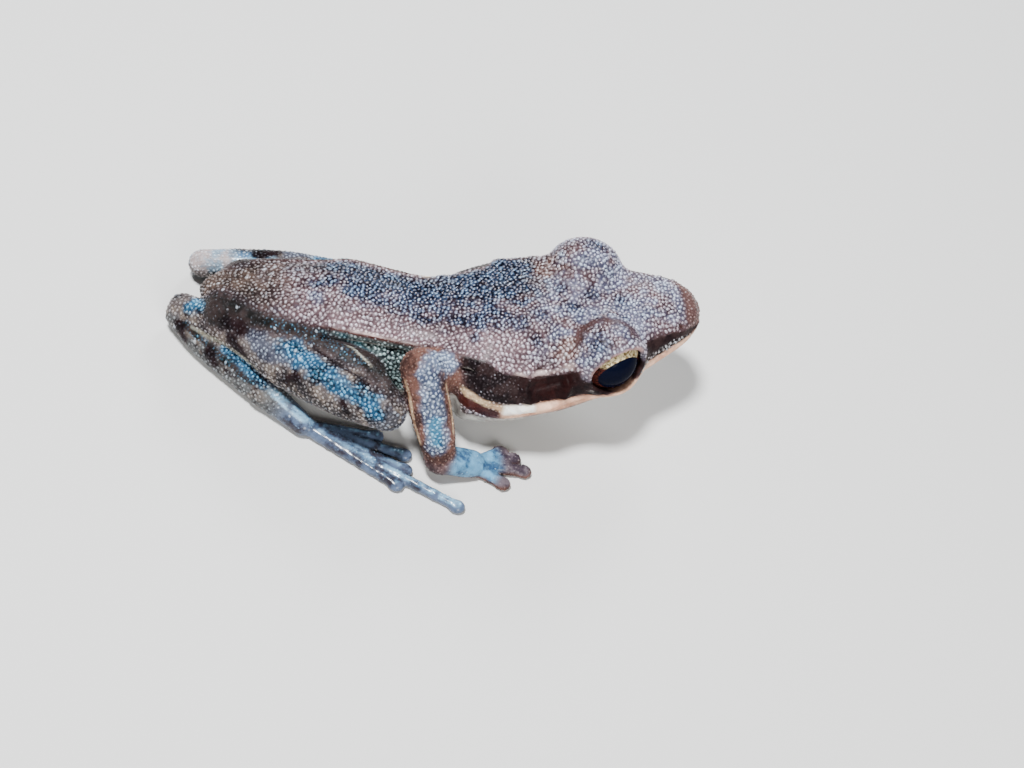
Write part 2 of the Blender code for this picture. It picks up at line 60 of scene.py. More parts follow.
# Making sizes, in millimetres: the grid's step, the farthest distance kept, the box that the skin is
# worked out in, and the model's origin in it
STEP = 0.17
FAR = 6.0
SKIN_BOX = ((-4.0, -15.5, -3 * STEP), (41.0, 12.2, 13.2))
CENTRE = np.array((18.47, -1.70, 0.0))
MILLIMETRE = 0.001

SIDES = ("right", "left")

# Head frame: the point midway between the eyes, and the way that the snout points, in degrees
HEAD_PLACE = (30.9, 1.75, 8.8)
HEAD_YAW = 19.5
HEAD_PITCH = 7.0

# Trunk stations: place along the body, half width, top, widest height, underside; then the power
# that rounds its sections, and the sideways places of its middle
TRUNK = (
    (-0.1, 0.3, 4.0, 3.6, 3.2),
    (0.3, 0.9, 4.5, 3.6, 2.7),
    (1.2, 1.6, 5.0, 3.7, 2.4),
    (3.0, 2.6, 5.8, 3.8, 2.0),
    (6.0, 3.3, 6.9, 3.9, 1.9),
    (9.0, 3.9, 7.8, 3.9, 1.7),
    (11.2, 4.4, 8.4, 3.9, 1.6),
    (13.0, 4.5, 8.3, 3.8, 1.4),
    (16.0, 4.6, 8.15, 3.8, 1.2),
    (18.5, 4.8, 8.4, 4.0, 1.1),
    (21.0, 5.5, 8.9, 4.2, 1.0),
    (23.5, 5.9, 9.5, 4.5, 1.1),
    (25.5, 5.4, 9.5, 4.9, 1.6),
    (27.3, 4.4, 8.9, 5.3, 2.6),
)
TRUNK_POWER = 2.6
TRUNK_MIDDLE = ((0, -1.0), (10, -1.25), (19, -1.2), (23, -0.95), (27, 0.3), (31, 1.8))

# Head stations in the head frame: forward of the eyes, half width, top, lip height, underside
HEAD = (
    (-12.0, 3.0, -1.0, -2.6, -4.4),
    (-11.0, 5.4, 0.0, -2.5, -5.3),
    (-9.0, 6.6, 0.8, -2.4, -5.6),
    (-7.0, 6.95, 1.2, -2.3, -5.5),
    (-4.5, 6.9, 1.5, -2.2, -5.1),
    (-2.5, 6.6, 1.6, -2.1, -4.8),
    (-0.5, 6.15, 1.6, -2.0, -4.4),
    (1.0, 5.6, 1.55, -1.9, -4.0),
    (2.8, 4.8, 1.45, -1.8, -3.6),
    (4.5, 4.05, 1.3, -1.65, -3.1),
    (6.0, 3.35, 1.1, -1.5, -2.7),
    (7.0, 2.8, 0.9, -1.3, -2.35),
    (7.9, 2.0, 0.55, -1.0, -1.9),
    (8.35, 1.3, 0.2, -0.8, -1.5),
    (8.6, 0.5, -0.25, -0.6, -0.95),
)
HEAD_POWER = 2.7


def turn(heading, pitch):
    """Unit vector for a heading and an upward pitch in degrees."""
    across, up = math.radians(heading), math.radians(pitch)
    return np.array((math.cos(up) * math.cos(across), math.cos(up) * math.sin(across), math.sin(up)))


def smooth_curve(places, values, at):
    """Cubic curve through the values, with no overshoot between them."""
    places, values = np.array(places, float), np.array(values, float)
    slope = np.diff(values) / np.diff(places)
    tangent = np.zeros(len(values))
    product = slope[:-1] * slope[1:]
    mean = 2 * product / np.where(np.abs(slope[:-1] + slope[1:]) < 1e-9, 1, slope[:-1] + slope[1:])
    tangent[1:-1] = np.where(product > 0, mean, 0)
    tangent[0], tangent[-1] = slope[0], slope[-1]
    at = np.clip(at, places[0], places[-1])
    index = np.clip(np.searchsorted(places, at) - 1, 0, len(places) - 2)
    width = places[index + 1] - places[index]
    t = (at - places[index]) / width
    start = (1 + 2 * t) * (1 - t) ** 2 * values[index] + t * (1 - t) ** 2 * width * tangent[index]
    end = t ** 2 * (3 - 2 * t) * values[index + 1] + t ** 2 * (t - 1) * width * tangent[index + 1]
    return start + end


def curve_at(table, along, column=1):
    """Smooth curve through one column of a table, by the table's first column."""
    rows = np.array(table, float)
    return smooth_curve(rows[:, 0], rows[:, column], along)


def path(points, count):
    """Points on a smooth curve through the given ones, by chord length."""
    points = np.array(points, float)
    along = np.concatenate(([0], np.cumsum(np.linalg.norm(np.diff(points[:, :3], axis=0), axis=1))))
    at = np.linspace(0, along[-1], count)
    return np.stack([smooth_curve(along, points[:, c], at) for c in range(points.shape[1])], axis=1)


class Space:
    """The grid that every field is worked out on."""

    def __init__(self, low, high, step):
        self.step = step
        self.axes = [np.arange(low[i], high[i] + step, step) for i in range(3)]
        self.low = np.array([axis[0] for axis in self.axes])
        self.shape = tuple(len(axis) for axis in self.axes)

    def window(self, low, high):
        """Slices and coordinates of the grid points inside a box."""
        cuts = [slice(*np.searchsorted(axis, ends)) for axis, ends in zip(self.axes, zip(low, high))]
        return tuple(cuts), *np.ix_(*(axis[cut] for axis, cut in zip(self.axes, cuts)))

    def coordinates(self):
        return np.ix_(*self.axes)

    def empty(self):
        return np.full(self.shape, FAR)


def blend(first, second, reach):
    """Smooth union of two fields."""
    if reach <= 0:
        return np.minimum(first, second)
    overlap = np.maximum(reach - np.abs(first - second), 0) / reach
    return np.minimum(first, second) - overlap ** 2 * reach / 4


def add_tube(space, field, points, flat=1.0, reach=0.0, pad=1.6):
    """Union of a tapered tube through points given as x, y, z, radius."""
    points = np.array(points, float)
    for start, end in zip(points[:-1], points[1:]):
        big = max(start[3], end[3]) + pad
        low = np.minimum(start[:3], end[:3]) - big
        high = np.maximum(start[:3], end[:3]) + big
        cuts, x, y, z = space.window(low, high)
        dx, dy, dz = end[:3] - start[:3]
        length = dx * dx + dy * dy + dz * dz + 1e-9
        t = np.clip(((x - start[0]) * dx + (y - start[1]) * dy + (z - start[2]) * dz) / length, 0, 1)
        rise = (z - start[2] - t * dz) * flat
        gone = np.sqrt((x - start[0] - t * dx) ** 2 + (y - start[1] - t * dy) ** 2 + rise ** 2)
        gone = gone - start[3] - t * (end[3] - start[3])
        field[cuts] = blend(field[cuts], gone, reach)
    return field


def add_ball(space, field, centre, radii, reach=0.0, pad=1.6):
    """Union of an ellipsoid."""
    centre, radii = np.array(centre, float), np.array(radii, float)
    cuts, x, y, z = space.window(centre - radii - pad, centre + radii + pad)
    a, b, c = (x - centre[0]) / radii[0], (y - centre[1]) / radii[1], (z - centre[2]) / radii[2]
    norm = np.sqrt(a * a + b * b + c * c) + 1e-6
    slope = np.sqrt((a / radii[0]) ** 2 + (b / radii[1]) ** 2 + (c / radii[2]) ** 2) + 1e-6
    field[cuts] = blend(field[cuts], norm * (norm - 1) / slope, reach)
    return field


def near_path(space, points, reach):
    """Distance from a path, worked out only near it."""
    return add_tube(space, space.empty(), [(*point, 0.0) for point in points], pad=reach)


def even(space, field, least):
    """The field over its own slope, which makes it nearly a distance."""
    slope = np.sqrt(sum(g * g for g in np.gradient(field, space.step)))
    return field / np.maximum(slope, least)


def loft(space, stations, power, along, across, up):
    """Field of a body whose sections are rounded boxes, from its stations."""
    half, top, middle, low = (curve_at(stations, along, column) for column in (1, 2, 3, 4))
    outside = np.maximum(stations[0][0] - along, 0) + np.maximum(along - stations[-1][0], 0)
    height = np.where(up > middle, top - middle, middle - low)
    norm = (np.abs(across) / half) ** power + (np.abs(up - middle) / height) ** power
    norm = norm ** (1 / power)
    scale = np.minimum(half, (top - low) / 2)
    gone = even(space, (norm - 1) * scale, 0.45)
    gone = np.where(outside > 0, np.hypot(np.maximum(gone, 0), outside), gone)
    return np.clip(gone, -FAR, FAR)


def head_axes():
    forward = turn(HEAD_YAW, HEAD_PITCH)
    left = turn(HEAD_YAW + 90, 0)
    return forward, left, np.cross(forward, left)


def head_point(forward, left, up):
    """World place of a point given in the head frame."""
    axes = head_axes()
    return np.array(HEAD_PLACE) + forward * axes[0] + left * axes[1] + up * axes[2]


def measured(coordinates, place, axes):
    """How far from a place the grid points lie along each axis."""
    x, y, z = (values - start for values, start in zip(coordinates, place))
    return [x * axis[0] + y * axis[1] + z * axis[2] for axis in axes]


def head_coordinates(space):
    return measured(space.coordinates(), HEAD_PLACE, head_axes())


def trunk_line(x):
    return curve_at(TRUNK_MIDDLE, x)


def kind_of(name):
    """Name of a part without its side."""
    return name.removesuffix("_right").removesuffix("_left")


def sign_of(side):
    return -1 if side == "right" else 1


# Limb parts from joint to joint, as points on their middle lines with the radius there
LIMBS = {
    "thigh_right": ((2.7, -3.0, 3.5, 2.1), (9.2, -4.7, 4.5, 2.05), (12.8, -6.1, 5.0, 1.85),
                    (16.4, -9.2, 5.2, 1.45)),
    "shank_right": ((16.6, -9.6, 5.0, 1.5), (12.7, -8.2, 4.6, 2.1), (9.0, -6.6, 4.0, 2.15),
                    (4.1, -4.4, 3.3, 1.55), (-1.2, -2.1, 1.95, 1.15)),
    "tarsus_right": ((-1.3, -2.5, 1.5, 1.15), (0.8, -4.2, 1.3, 1.2), (6.9, -7.8, 1.2, 1.2)),
    "thigh_left": ((3.0, 0.6, 3.7, 1.8), (9.0, 2.1, 4.1, 1.75), (12.6, 2.9, 3.8, 1.6),
                   (16.4, 3.9, 3.1, 1.3)),
    "shank_left": ((16.6, 4.2, 2.9, 1.3), (11.5, 4.1, 2.8, 1.45), (6.3, 4.1, 2.4, 1.45),
                   (2.5, 3.8, 2.0, 1.25), (-0.9, 3.0, 1.8, 1.1)),
    "tarsus_left": ((-1.0, 3.3, 1.4, 1.1), (0.9, 4.3, 1.1, 1.05), (7.0, 5.6, 0.9, 1.0)),
    "upper_arm_right": ((22.2, -3.9, 4.3, 1.6), (20.3, -5.6, 6.4, 1.45), (18.5, -6.9, 7.75, 1.6)),
    "forearm_right": ((18.4, -7.0, 7.8, 1.65), (19.6, -8.4, 5.6, 1.65), (20.8, -9.7, 3.4, 1.45),
                      (21.5, -10.5, 1.7, 1.2)),
    "upper_arm_left": ((21.8, 2.2, 4.5, 1.6), (21.0, 3.6, 4.1, 1.45), (20.5, 4.9, 3.6, 1.35)),
    "forearm_left": ((20.5, 5.0, 3.5, 1.35), (22.8, 6.2, 2.8, 1.4), (25.4, 7.5, 2.0, 1.2),
                     (27.0, 8.2, 1.5, 1.1)),
}

# Toes and fingers, inner to outer: tips on the floor, then the middles of the palms and soles
TOE_TIPS = {
    "right": ((16.2, -8.9), (18.7, -10.0), (19.0, -11.4), (23.6, -13.6), (18.6, -12.9)),
    "left": ((13.2, 5.2), (16.2, 5.6), (19.2, 6.0), (23.6, 7.0), (19.0, 7.3)),
}
FINGER_TIPS = {
    "right": ((26.2, -7.6), (27.3, -8.0), (28.3, -8.9), (26.8, -10.5)),
    "left": ((29.0, 6.6), (31.0, 7.4), (32.6, 8.6), (30.2, 10.2)),
}
PALM = {"right": (24.0, -9.6), "left": (28.6, 8.4)}
SOLE = {"right": (10.4, -9.6), "left": (10.6, 6.2)}

# Height and thickness of a digit at its root, middle and end, and of the pad at its tip
DIGIT_HEIGHTS = (0.55, 0.44, 0.4)
DIGIT_TAPER = (1.15, 1.0, 0.9)
PAD_HEIGHT = 0.36
PAD_RADII = (DISC_RADIUS * 1.15, DISC_RADIUS, 0.44)

# Feet and hands: the limb part before them, the middle, height, radius, flatness and blend of the
# sole or palm, then the tips and radius of the digits and how far along them the web reaches
ENDS = {
    "foot": ("tarsus", SOLE, 0.7, 0.95, 1.15, 0.0, TOE_TIPS, TOE_RADIUS, 0.55),
    "hand": ("forearm", PALM, 0.75, 1.2, 1.3, 0.2, FINGER_TIPS, FINGER_RADIUS, 0.2),
}


def digit(root, tip, radius):
    """Middle line of one toe or finger, from its root to the pad at its tip."""
    places = (root, (root + tip) / 2, tip * 0.965 + root * 0.035)
    return path([(*place, height, radius * share)
                 for place, height, share in zip(places, DIGIT_HEIGHTS, DIGIT_TAPER)], 9)


def add_digits(space, field, root, tips, radius, webbing):
    """Toes or fingers from the end of a sole or palm, with the web between them."""
    root = np.array(root, float)
    rows = []
    for tip in np.array(tips, float):
        rows.append(digit(root + (tip - root) * 0.08, tip, radius))
        add_tube(space, field, rows[-1], reach=0.15)
        add_ball(space, field, (*tip, PAD_HEIGHT), PAD_RADII, reach=0.15)
    for first, second in zip(rows[:-1], rows[1:]):
        for index in range(int(len(first) * webbing)):
            ends = [(*row[index][:3], WEB_RADIUS) for row in (first, second)]
            add_tube(space, field, ends, reach=0.1)
    return field


def end_field(space, kind, side):
    """A foot or a hand, from the last joint of its limb to the tips of its digits."""
    limb, middle, height, radius, flat, reach, tips, thick, webbing = ENDS[kind]
    joint = LIMBS[limb + "_" + side][-1]
    rows = path([joint, (*middle[side], height, radius)], 5)
    field = add_tube(space, space.empty(), rows, flat=flat, reach=reach)
    return add_digits(space, field, middle[side], tips[side], thick, webbing)


def eye_place(side):
    return head_point(0.0, sign_of(side) * EYE_SPREAD, 0.0)


def eye_axes(side):
    """Axis out of the eye, and the level and upright ways across its opening."""
    sign = sign_of(side)
    out = turn(HEAD_YAW + sign * EYE_TURN, EYE_LIFT)
    level = turn(HEAD_YAW + sign * EYE_TURN - sign * 90, 0)
    level = level + 0.25 * np.cross(out, level) * -sign
    level = level / np.linalg.norm(level)
    return out, level, np.cross(out, level) * -sign


def head_field(space):
    along, across, up = head_coordinates(space)
    field = loft(space, HEAD, HEAD_POWER, along, across, up)
    for side in SIDES:
        add_ball(space, field, eye_place(side), (LID_RADIUS,) * 3, reach=0.9)
    return field


def trunk_field(space):
    x, y, z = space.coordinates()
    across = y - trunk_line(x)
    return loft(space, TRUNK, TRUNK_POWER, x, across + 0 * z, z + 0 * across)


# Dorsolateral folds: place along the trunk and how far from its middle, then the same on the head
TRUNK_FOLD = ((3.7, 2.3), (7.3, 3.2), (11.6, 3.55), (16.3, 3.4), (19.5, 3.7), (22.4, 4.4))
HEAD_FOLD = ((-6.8, 5.6), (-4.8, 5.6), (-2.6, 5.2))


def section_top(stations, power, along, across):
    """Height of a lofted body's back at a place across it."""
    half, top, middle = (float(curve_at(stations, along, column)) for column in (1, 2, 3))
    return middle + (top - middle) * (1 - (across / half) ** power) ** (1 / power)


def fold_rows(side):
    """Crest of one fold, from the trunk on to the head."""
    sign = sign_of(side)
    rows = [(x, float(trunk_line(x)) + sign * away, section_top(TRUNK, TRUNK_POWER, x, away))
            for x, away in TRUNK_FOLD]
    rows += [head_point(forward, sign * away, section_top(HEAD, HEAD_POWER, forward, away))
             for forward, away in HEAD_FOLD]
    return path(rows, 40)


def head_path(rows, side, count):
    """Path on one side of the head, from points given in the head frame for the left side."""
    return path([head_point(forward, sign_of(side) * away, up) for forward, away, up in rows], count)


# Crease that sets the lid off from the top of the head and how deep it is, the gland behind the
# mouth, the nostril and the eardrum's ring, in the head frame of the left side
LID_CREASE = ((-2.3, 3.9, 1.9), (-2.2, 3.3, 2.0), (-1.8, 2.9, 2.1), (-1.2, 2.65, 2.3),
              (-0.6, 2.6, 2.5), (0.1, 2.7, 2.6), (0.8, 2.85, 2.6), (1.5, 3.15, 2.5),
              (1.9, 3.6, 2.4), (2.05, 4.1, 2.3))
CREASE_DEPTH = {"right": 0.26, "left": 0.08}
GLAND = ((-5.2, 6.9, -2.1), (-8.6, 6.9, -2.5))
NOSTRIL = (6.5, 2.35, 0.45)
EARDRUM = (-5.2, -0.35)
EARDRUM_RADIUS = 1.7


def bump(distance, width):
    return np.exp(-(distance / width) ** 2)


def carve(space, field):
    """Folds, lids, lips, mouth, ears and nostrils, raised on or sunk in the skin."""
    along, across, up = head_coordinates(space)
    lip = curve_at(HEAD, along, 3)
    front = np.clip((along + 7.6) / 0.8, 0, 1)
    field += 0.42 * bump(up - lip + 0.25, 0.22) * front
    field -= 0.16 * bump(up - lip - 0.25, 0.3) * front
    for side in SIDES:
        sign = sign_of(side)
        ridge = fold_rows(side)
        groove = ridge[:30] + np.array((0.0, sign * 0.45, -0.55))
        crease = head_path(LID_CREASE, side, 20)
        for rows, height, width, reach in ((ridge, 0.58, 0.4, 1.4), (groove, -0.42, 0.32, 1.2),
                                           (crease, -CREASE_DEPTH[side], 0.24, 1.0),
                                           (head_path(GLAND, side, 6), 0.3, 0.6, 1.5)):
            field -= height * bump(near_path(space, rows, reach), width)
        ring = np.sqrt((along - EARDRUM[0]) ** 2 + (up - EARDRUM[1]) ** 2)
        cheek = np.clip(sign * across - 4.5, 0, 1)
        field -= (0.2 * bump(ring - EARDRUM_RADIUS, 0.28) - 0.12 * bump(ring, 1.2)) * cheek
        nostril = head_point(NOSTRIL[0], sign * NOSTRIL[1], NOSTRIL[2])
        near = near_path(space, [nostril, nostril + 0.01], 1.6)
        field -= 0.2 * bump(near, 0.6)
        field += 0.75 * bump(near, 0.26)
    return field


def open_eye(space, field, side):
    """Cut the socket and the opening between the lids, with a raised rim."""
    place = eye_place(side)
    cuts, *coordinates = space.window(place - 4.5, place + 4.5)
    a, b, c = measured(coordinates, place, eye_axes(side))
    ball = np.sqrt(a * a + b * b + c * c) - EYE_RADIUS - LID_GAP
    norm = np.sqrt((b / OPENING[0]) ** 2 + ((c + OPENING_DROP) / OPENING[1]) ** 2)
    front = smooth(a, 0.0, 0.6)
    part = field[cuts] + 0.3 * front * (1 - smooth(norm, 1.0, 1.16))
    part = np.maximum(part - 0.06 * front * bump(norm - 1.08, 0.06), -ball)
    field[cuts] = np.maximum(part, -np.maximum((norm - 1) * 1.9, -a))
    return field


def summed(numbers, rows, count):
    """Sum of the rows that go to each number."""
    return np.stack([np.bincount(numbers, rows[:, c], count) for c in range(3)], axis=1)


def surface(space, field):
    """Corners and four-sided faces of the level surface of a field."""
    for axis in range(3):
        np.moveaxis(field, axis, 0)[[0, -1]] = FAR
    inside = field < 0
    size = np.array(field.shape)
    total = np.zeros((field.size, 3))
    count = np.zeros(field.size)
    faces = []
    weight = np.array((size[1] * size[2], size[2], 1))
    for axis in range(3):
        first = [slice(None)] * 3
        second = [slice(None)] * 3
        first[axis], second[axis] = slice(0, -1), slice(1, None)
        crossing = inside[tuple(first)] != inside[tuple(second)]
        cell = np.argwhere(crossing)
        a, b = field[tuple(first)][crossing], field[tuple(second)][crossing]
        place = cell.astype(float)
        place[:, axis] += a / (a - b)
        u, v = (axis + 1) % 3, (axis + 2) % 3
        ring = []
        for du, dv in ((0, 0), (-1, 0), (-1, -1), (0, -1)):
            near = cell.copy()
            near[:, u] += du
            near[:, v] += dv
            code = near @ weight
            ring.append(code)
            total += summed(code, place, field.size)
            count += np.bincount(code, minlength=field.size)
        quad = np.stack(ring, axis=1)
        outward = a < 0
        quad[~outward] = quad[~outward][:, ::-1]
        faces.append(quad)
    faces = np.concatenate(faces)
    used = np.flatnonzero(count)
    number = np.full(field.size, -1)
    number[used] = np.arange(len(used))
    corners = total[used] / count[used][:, None] * space.step + space.low
    return corners, number[faces]


# How far the head and each limb part blend into their neighbour
REACH = {"head": 2.2, "thigh": 0.9, "upper_arm": 0.8, "shank": 0.2, "tarsus": 0.2, "forearm": 0.3,
         "hand": 0.3, "foot": 0.3}


def all_fields(space):
    """The distance field of each fleshy part."""
    fields = {"torso": trunk_field(space), "head": head_field(space)}
    for name, rows in LIMBS.items():
        fields[name] = add_tube(space, space.empty(), path(rows, 14))
    for side in SIDES:
        for kind in ENDS:
            fields[kind + "_" + side] = end_field(space, kind, side)
    return fields


def whole_skin(space, fields):
    """One skin over all the parts."""
    skin = fields["torso"]
    for name, field in fields.items():
        if name != "torso":
            skin = blend(skin, field, REACH[kind_of(name)])
    return np.maximum(carve(space, skin), -space.coordinates()[2])


def tone(red, green, blue):
    """Linear colour of a tone given in 0 to 255 display values."""
    value = np.array((red, green, blue)) / 255
    return np.where(value <= 0.04045, value / 12.92, ((value + 0.055) / 1.055) ** 2.4)


# Regions in the order they are painted: the size of their grains against those of the back, how
# wet the skin looks, the share of pearls that stand in it, then the ground, second and grain tones
REGIONS = {
    "back": (1.0, 0.04, 0, (112, 88, 92), (82, 64, 70), (202, 186, 196)),
    "cool": (1.0, 0.04, 0, (131, 131, 158), (98, 100, 127), (208, 224, 248)),
    "flush": (1.0, 0.04, 0, (144, 116, 122), (112, 90, 96), (228, 210, 218)),
    # painted shade along the far side of the back
    "far_side_shade": (1.0, 0.04, 0, (44, 38, 42), (28, 25, 30), (116, 118, 130)),
    "mottle": (1.0, 0.04, 0, (22, 29, 50), (8, 12, 30), (98, 132, 180)),
    "rump": (0.7, 0.04, 0.2, (106, 88, 80), (56, 46, 44), (150, 136, 130)),
    "snout": (0.45, 0.3, 0, (104, 78, 74), (86, 62, 60), (180, 146, 142)),
    # dark strip under the folds: partly the skin's own dark edge, partly painted shade
    "under_fold": (0.3, 0.04, 0, (60, 27, 23), (36, 17, 17), (104, 66, 62)),
    "flank": (0.85, 0.04, 0, (88, 104, 104), (34, 42, 48), (210, 240, 236)),
    # painted sheen, teal, on the flank
    "sheen": (0.85, 0.04, 0, (70, 126, 140), (36, 66, 80), (142, 226, 240)),
    "mask": (0.38, 0.04, 0, (45, 33, 33), (23, 17, 19), (112, 102, 106)),
    "ear": (0.08, 0.04, 0, (27, 9, 9), (17, 6, 7), (64, 40, 40)),
    "drum": (0.0, 0.04, 0, (42, 18, 17), (30, 13, 13), (84, 54, 52)),
    "stripe": (0.0, 0.04, 0, (44, 32, 32), (26, 18, 20), (70, 60, 64)),
    "loreal": (0.85, 0.04, 0, (50, 36, 37), (31, 23, 26), (240, 236, 236)),
    "lip": (0.0, 0.3, 0, (224, 180, 152), (194, 146, 120), (240, 208, 184)),
    "gland": (0.0, 0.5, 0, (255, 252, 244), (244, 236, 220), (255, 253, 248)),
    "cord": (0.35, 0.3, 0, (222, 196, 156), (186, 150, 116), (246, 230, 204)),
    # dark band under the cord: partly the skin's own tone, partly painted shade below the jaw's edge
    "band": (0.15, 0.2, 0, (70, 34, 30), (48, 24, 24), (126, 88, 80)),
    "belly": (0.0, 0.3, 0, (186, 182, 174), (152, 146, 140), (214, 212, 206)),
    "fold": (0.5, 0.04, 0, (228, 202, 198), (190, 158, 154), (250, 238, 236)),
    "rust": (1.0, 0.04, 0, (122, 88, 80), (92, 64, 60), (220, 196, 188)),
    # painted shade in the near lid's crease
    "crease": (0.3, 0.04, 0, (66, 44, 42), (48, 32, 32), (120, 98, 98)),
    "thigh": (0.3, 0.04, 0.15, (47, 39, 38), (22, 22, 21), (92, 98, 106)),
    "shank": (0.6, 0.04, 0.15, (112, 102, 100), (45, 41, 45), (158, 152, 150)),
    "knee": (0.65, 0.04, 0, (58, 72, 88), (36, 42, 56), (112, 146, 180)),
    "tarsus": (0.5, 0.04, 0.35, (100, 100, 100), (50, 45, 48), (150, 156, 158)),
    "tan": (0.65, 0.04, 0, (146, 132, 122), (64, 54, 52), (176, 164, 154)),
    "lilac": (0.6, 0.1, 0, (92, 94, 108), (62, 62, 76), (176, 188, 208)),
    "foot": (0.2, 0.6, 0.1, (80, 94, 118), (46, 42, 50), (136, 168, 200)),
    # painted sheen and glints on the feet, the fingers and the far shank, over wet skin
    "gleam": (0.45, 0.9, 0, (146, 196, 228), (92, 130, 168), (226, 242, 254)),
    "web": (0.0, 0.5, 0, (82, 94, 116), (50, 58, 74), (130, 150, 176)),
    "arm": (0.38, 0.04, 0, (111, 78, 69), (63, 43, 40), (152, 120, 106)),
    "arm_top": (0.8, 0.04, 0, (142, 156, 186), (96, 106, 134), (218, 236, 254)),
    "streak": (0.3, 0.04, 0, (206, 176, 142), (150, 114, 92), (236, 218, 194)),
    "hand": (0.2, 0.35, 0, (92, 144, 178), (42, 70, 102), (176, 214, 236)),
    "blue": (0.75, 0.04, 0.2, (56, 100, 136), (16, 28, 46), (116, 196, 240)),
    # painted highlight, bright cyan, on the forearms and heels
    "glow": (0.75, 0.04, 0, (92, 158, 198), (52, 106, 146), (172, 230, 250)),
    "spark": (0.3, 0.04, 1.0, (47, 39, 38), (22, 22, 21), (120, 206, 250)),
    "bars": (0.4, 0.04, 0.25, (34, 22, 24), (20, 14, 16), (80, 76, 84)),
    "ridge": (0.4, 0.04, 0, (160, 158, 144), (116, 108, 94), (214, 222, 212)),
    "pale": (0.45, 0.04, 0, (190, 174, 172), (146, 168, 188), (216, 232, 244)),
    "lid": (0.9, 0.04, 0, (150, 136, 150), (114, 103, 118), (228, 232, 250)),
    "rim": (0.0, 0.4, 0, (158, 122, 118), (122, 92, 88), (210, 180, 170)),
    # painted shade in the eye sockets, the nostrils and the mouth
    "hollow_shade": (0.0, 0.04, 0, (50, 32, 30), (32, 20, 20), (60, 50, 50)),
}


def smooth(value, low, high):
    """Smooth step from 0 to 1."""
    t = np.clip((value - low) / (high - low), 0, 1)
    return t * t * (3 - 2 * t)


def fall(value, low, high):
    """Smooth step from 1 to 0."""
    return 1 - smooth(value, low, high)


def band(value, low, high, soft):
    """Smooth step from 0 to 1 at the low end and back at the high one."""
    return smooth(value, low - soft, low + soft) * fall(value, high - soft, high + soft)


def between(cell, part, pick):
    """Value inside each cell, from those picked for its eight corners."""
    value = np.zeros(len(cell))
    for corner in itertools.product((0, 1), repeat=3):
        a, b, c = np.abs(1 - np.array(corner) - part).T
        value += a * b * c * pick(cell + corner)
    return value


def wander(places, size, seed):
    """Smooth noise from -1 to 1, in lumps of about the given size in millimetres."""
    table = np.random.default_rng(seed).uniform(-1, 1, (32, 32, 32))
    at = places / size + 64
    cell = np.floor(at).astype(int)
    part = at - cell
    return between(cell, part * part * (3 - 2 * part), lambda corner: table[tuple(corner.T % 32)])


def gone_from(places, rows):
    """Distance of each place from a path of points."""
    rows = np.array(rows, float)[:, :3]
    least = np.full(len(places), 1e9)
    for start, end in zip(rows[:-1], rows[1:]):
        way = end - start
        t = np.clip((places - start) @ way / (way @ way + 1e-9), 0, 1)
        least = np.minimum(least, np.linalg.norm(places - start - t[:, None] * way, axis=1))
    return least


def nearest(places, paths):
    """Distance of each place from the nearest of several paths."""
    return np.min([gone_from(places, rows) for rows in paths], axis=0)


def sample(space, field, places):
    """Value of a field at each place."""
    at = (places - space.low) / space.step
    cell = np.clip(at.astype(int), 0, np.array(space.shape) - 2)
    return between(cell, np.clip(at - cell, 0, 1), lambda corner: field[tuple(corner.T)])


def limb_spot(part, side, share, angle):
    """A place on the skin of a limb, at a share of its length and a turn outward from its top."""
    rows = path(LIMBS[part + "_" + side], 41)
    index = int(round(share * 40))
    way = rows[min(index + 1, 40), :3] - rows[max(index - 1, 0), :3]
    way = way / np.linalg.norm(way)
    up = np.array((0.0, 0.0, 1.0)) - way[2] * way
    up = up / np.linalg.norm(up)
    outward = np.cross(way, up)
    outward = outward * (1 if outward[1] * sign_of(side) > 0 else -1)
    angle = math.radians(angle)
    return rows[index, :3] + rows[index, 3] * (math.cos(angle) * up + math.sin(angle) * outward)


def limb_line(part, side, spots):
    return [limb_spot(part, side, share, angle) for share, angle in spots]


def gone_from_ends(places, part, end):
    """Distance of each place from the first or last joint of a limb part, on the nearer side."""
    joints = [np.array(LIMBS[part + "_" + side][end][:3]) for side in SIDES]
    return np.minimum(*[np.linalg.norm(places - joint, axis=1) for joint in joints])


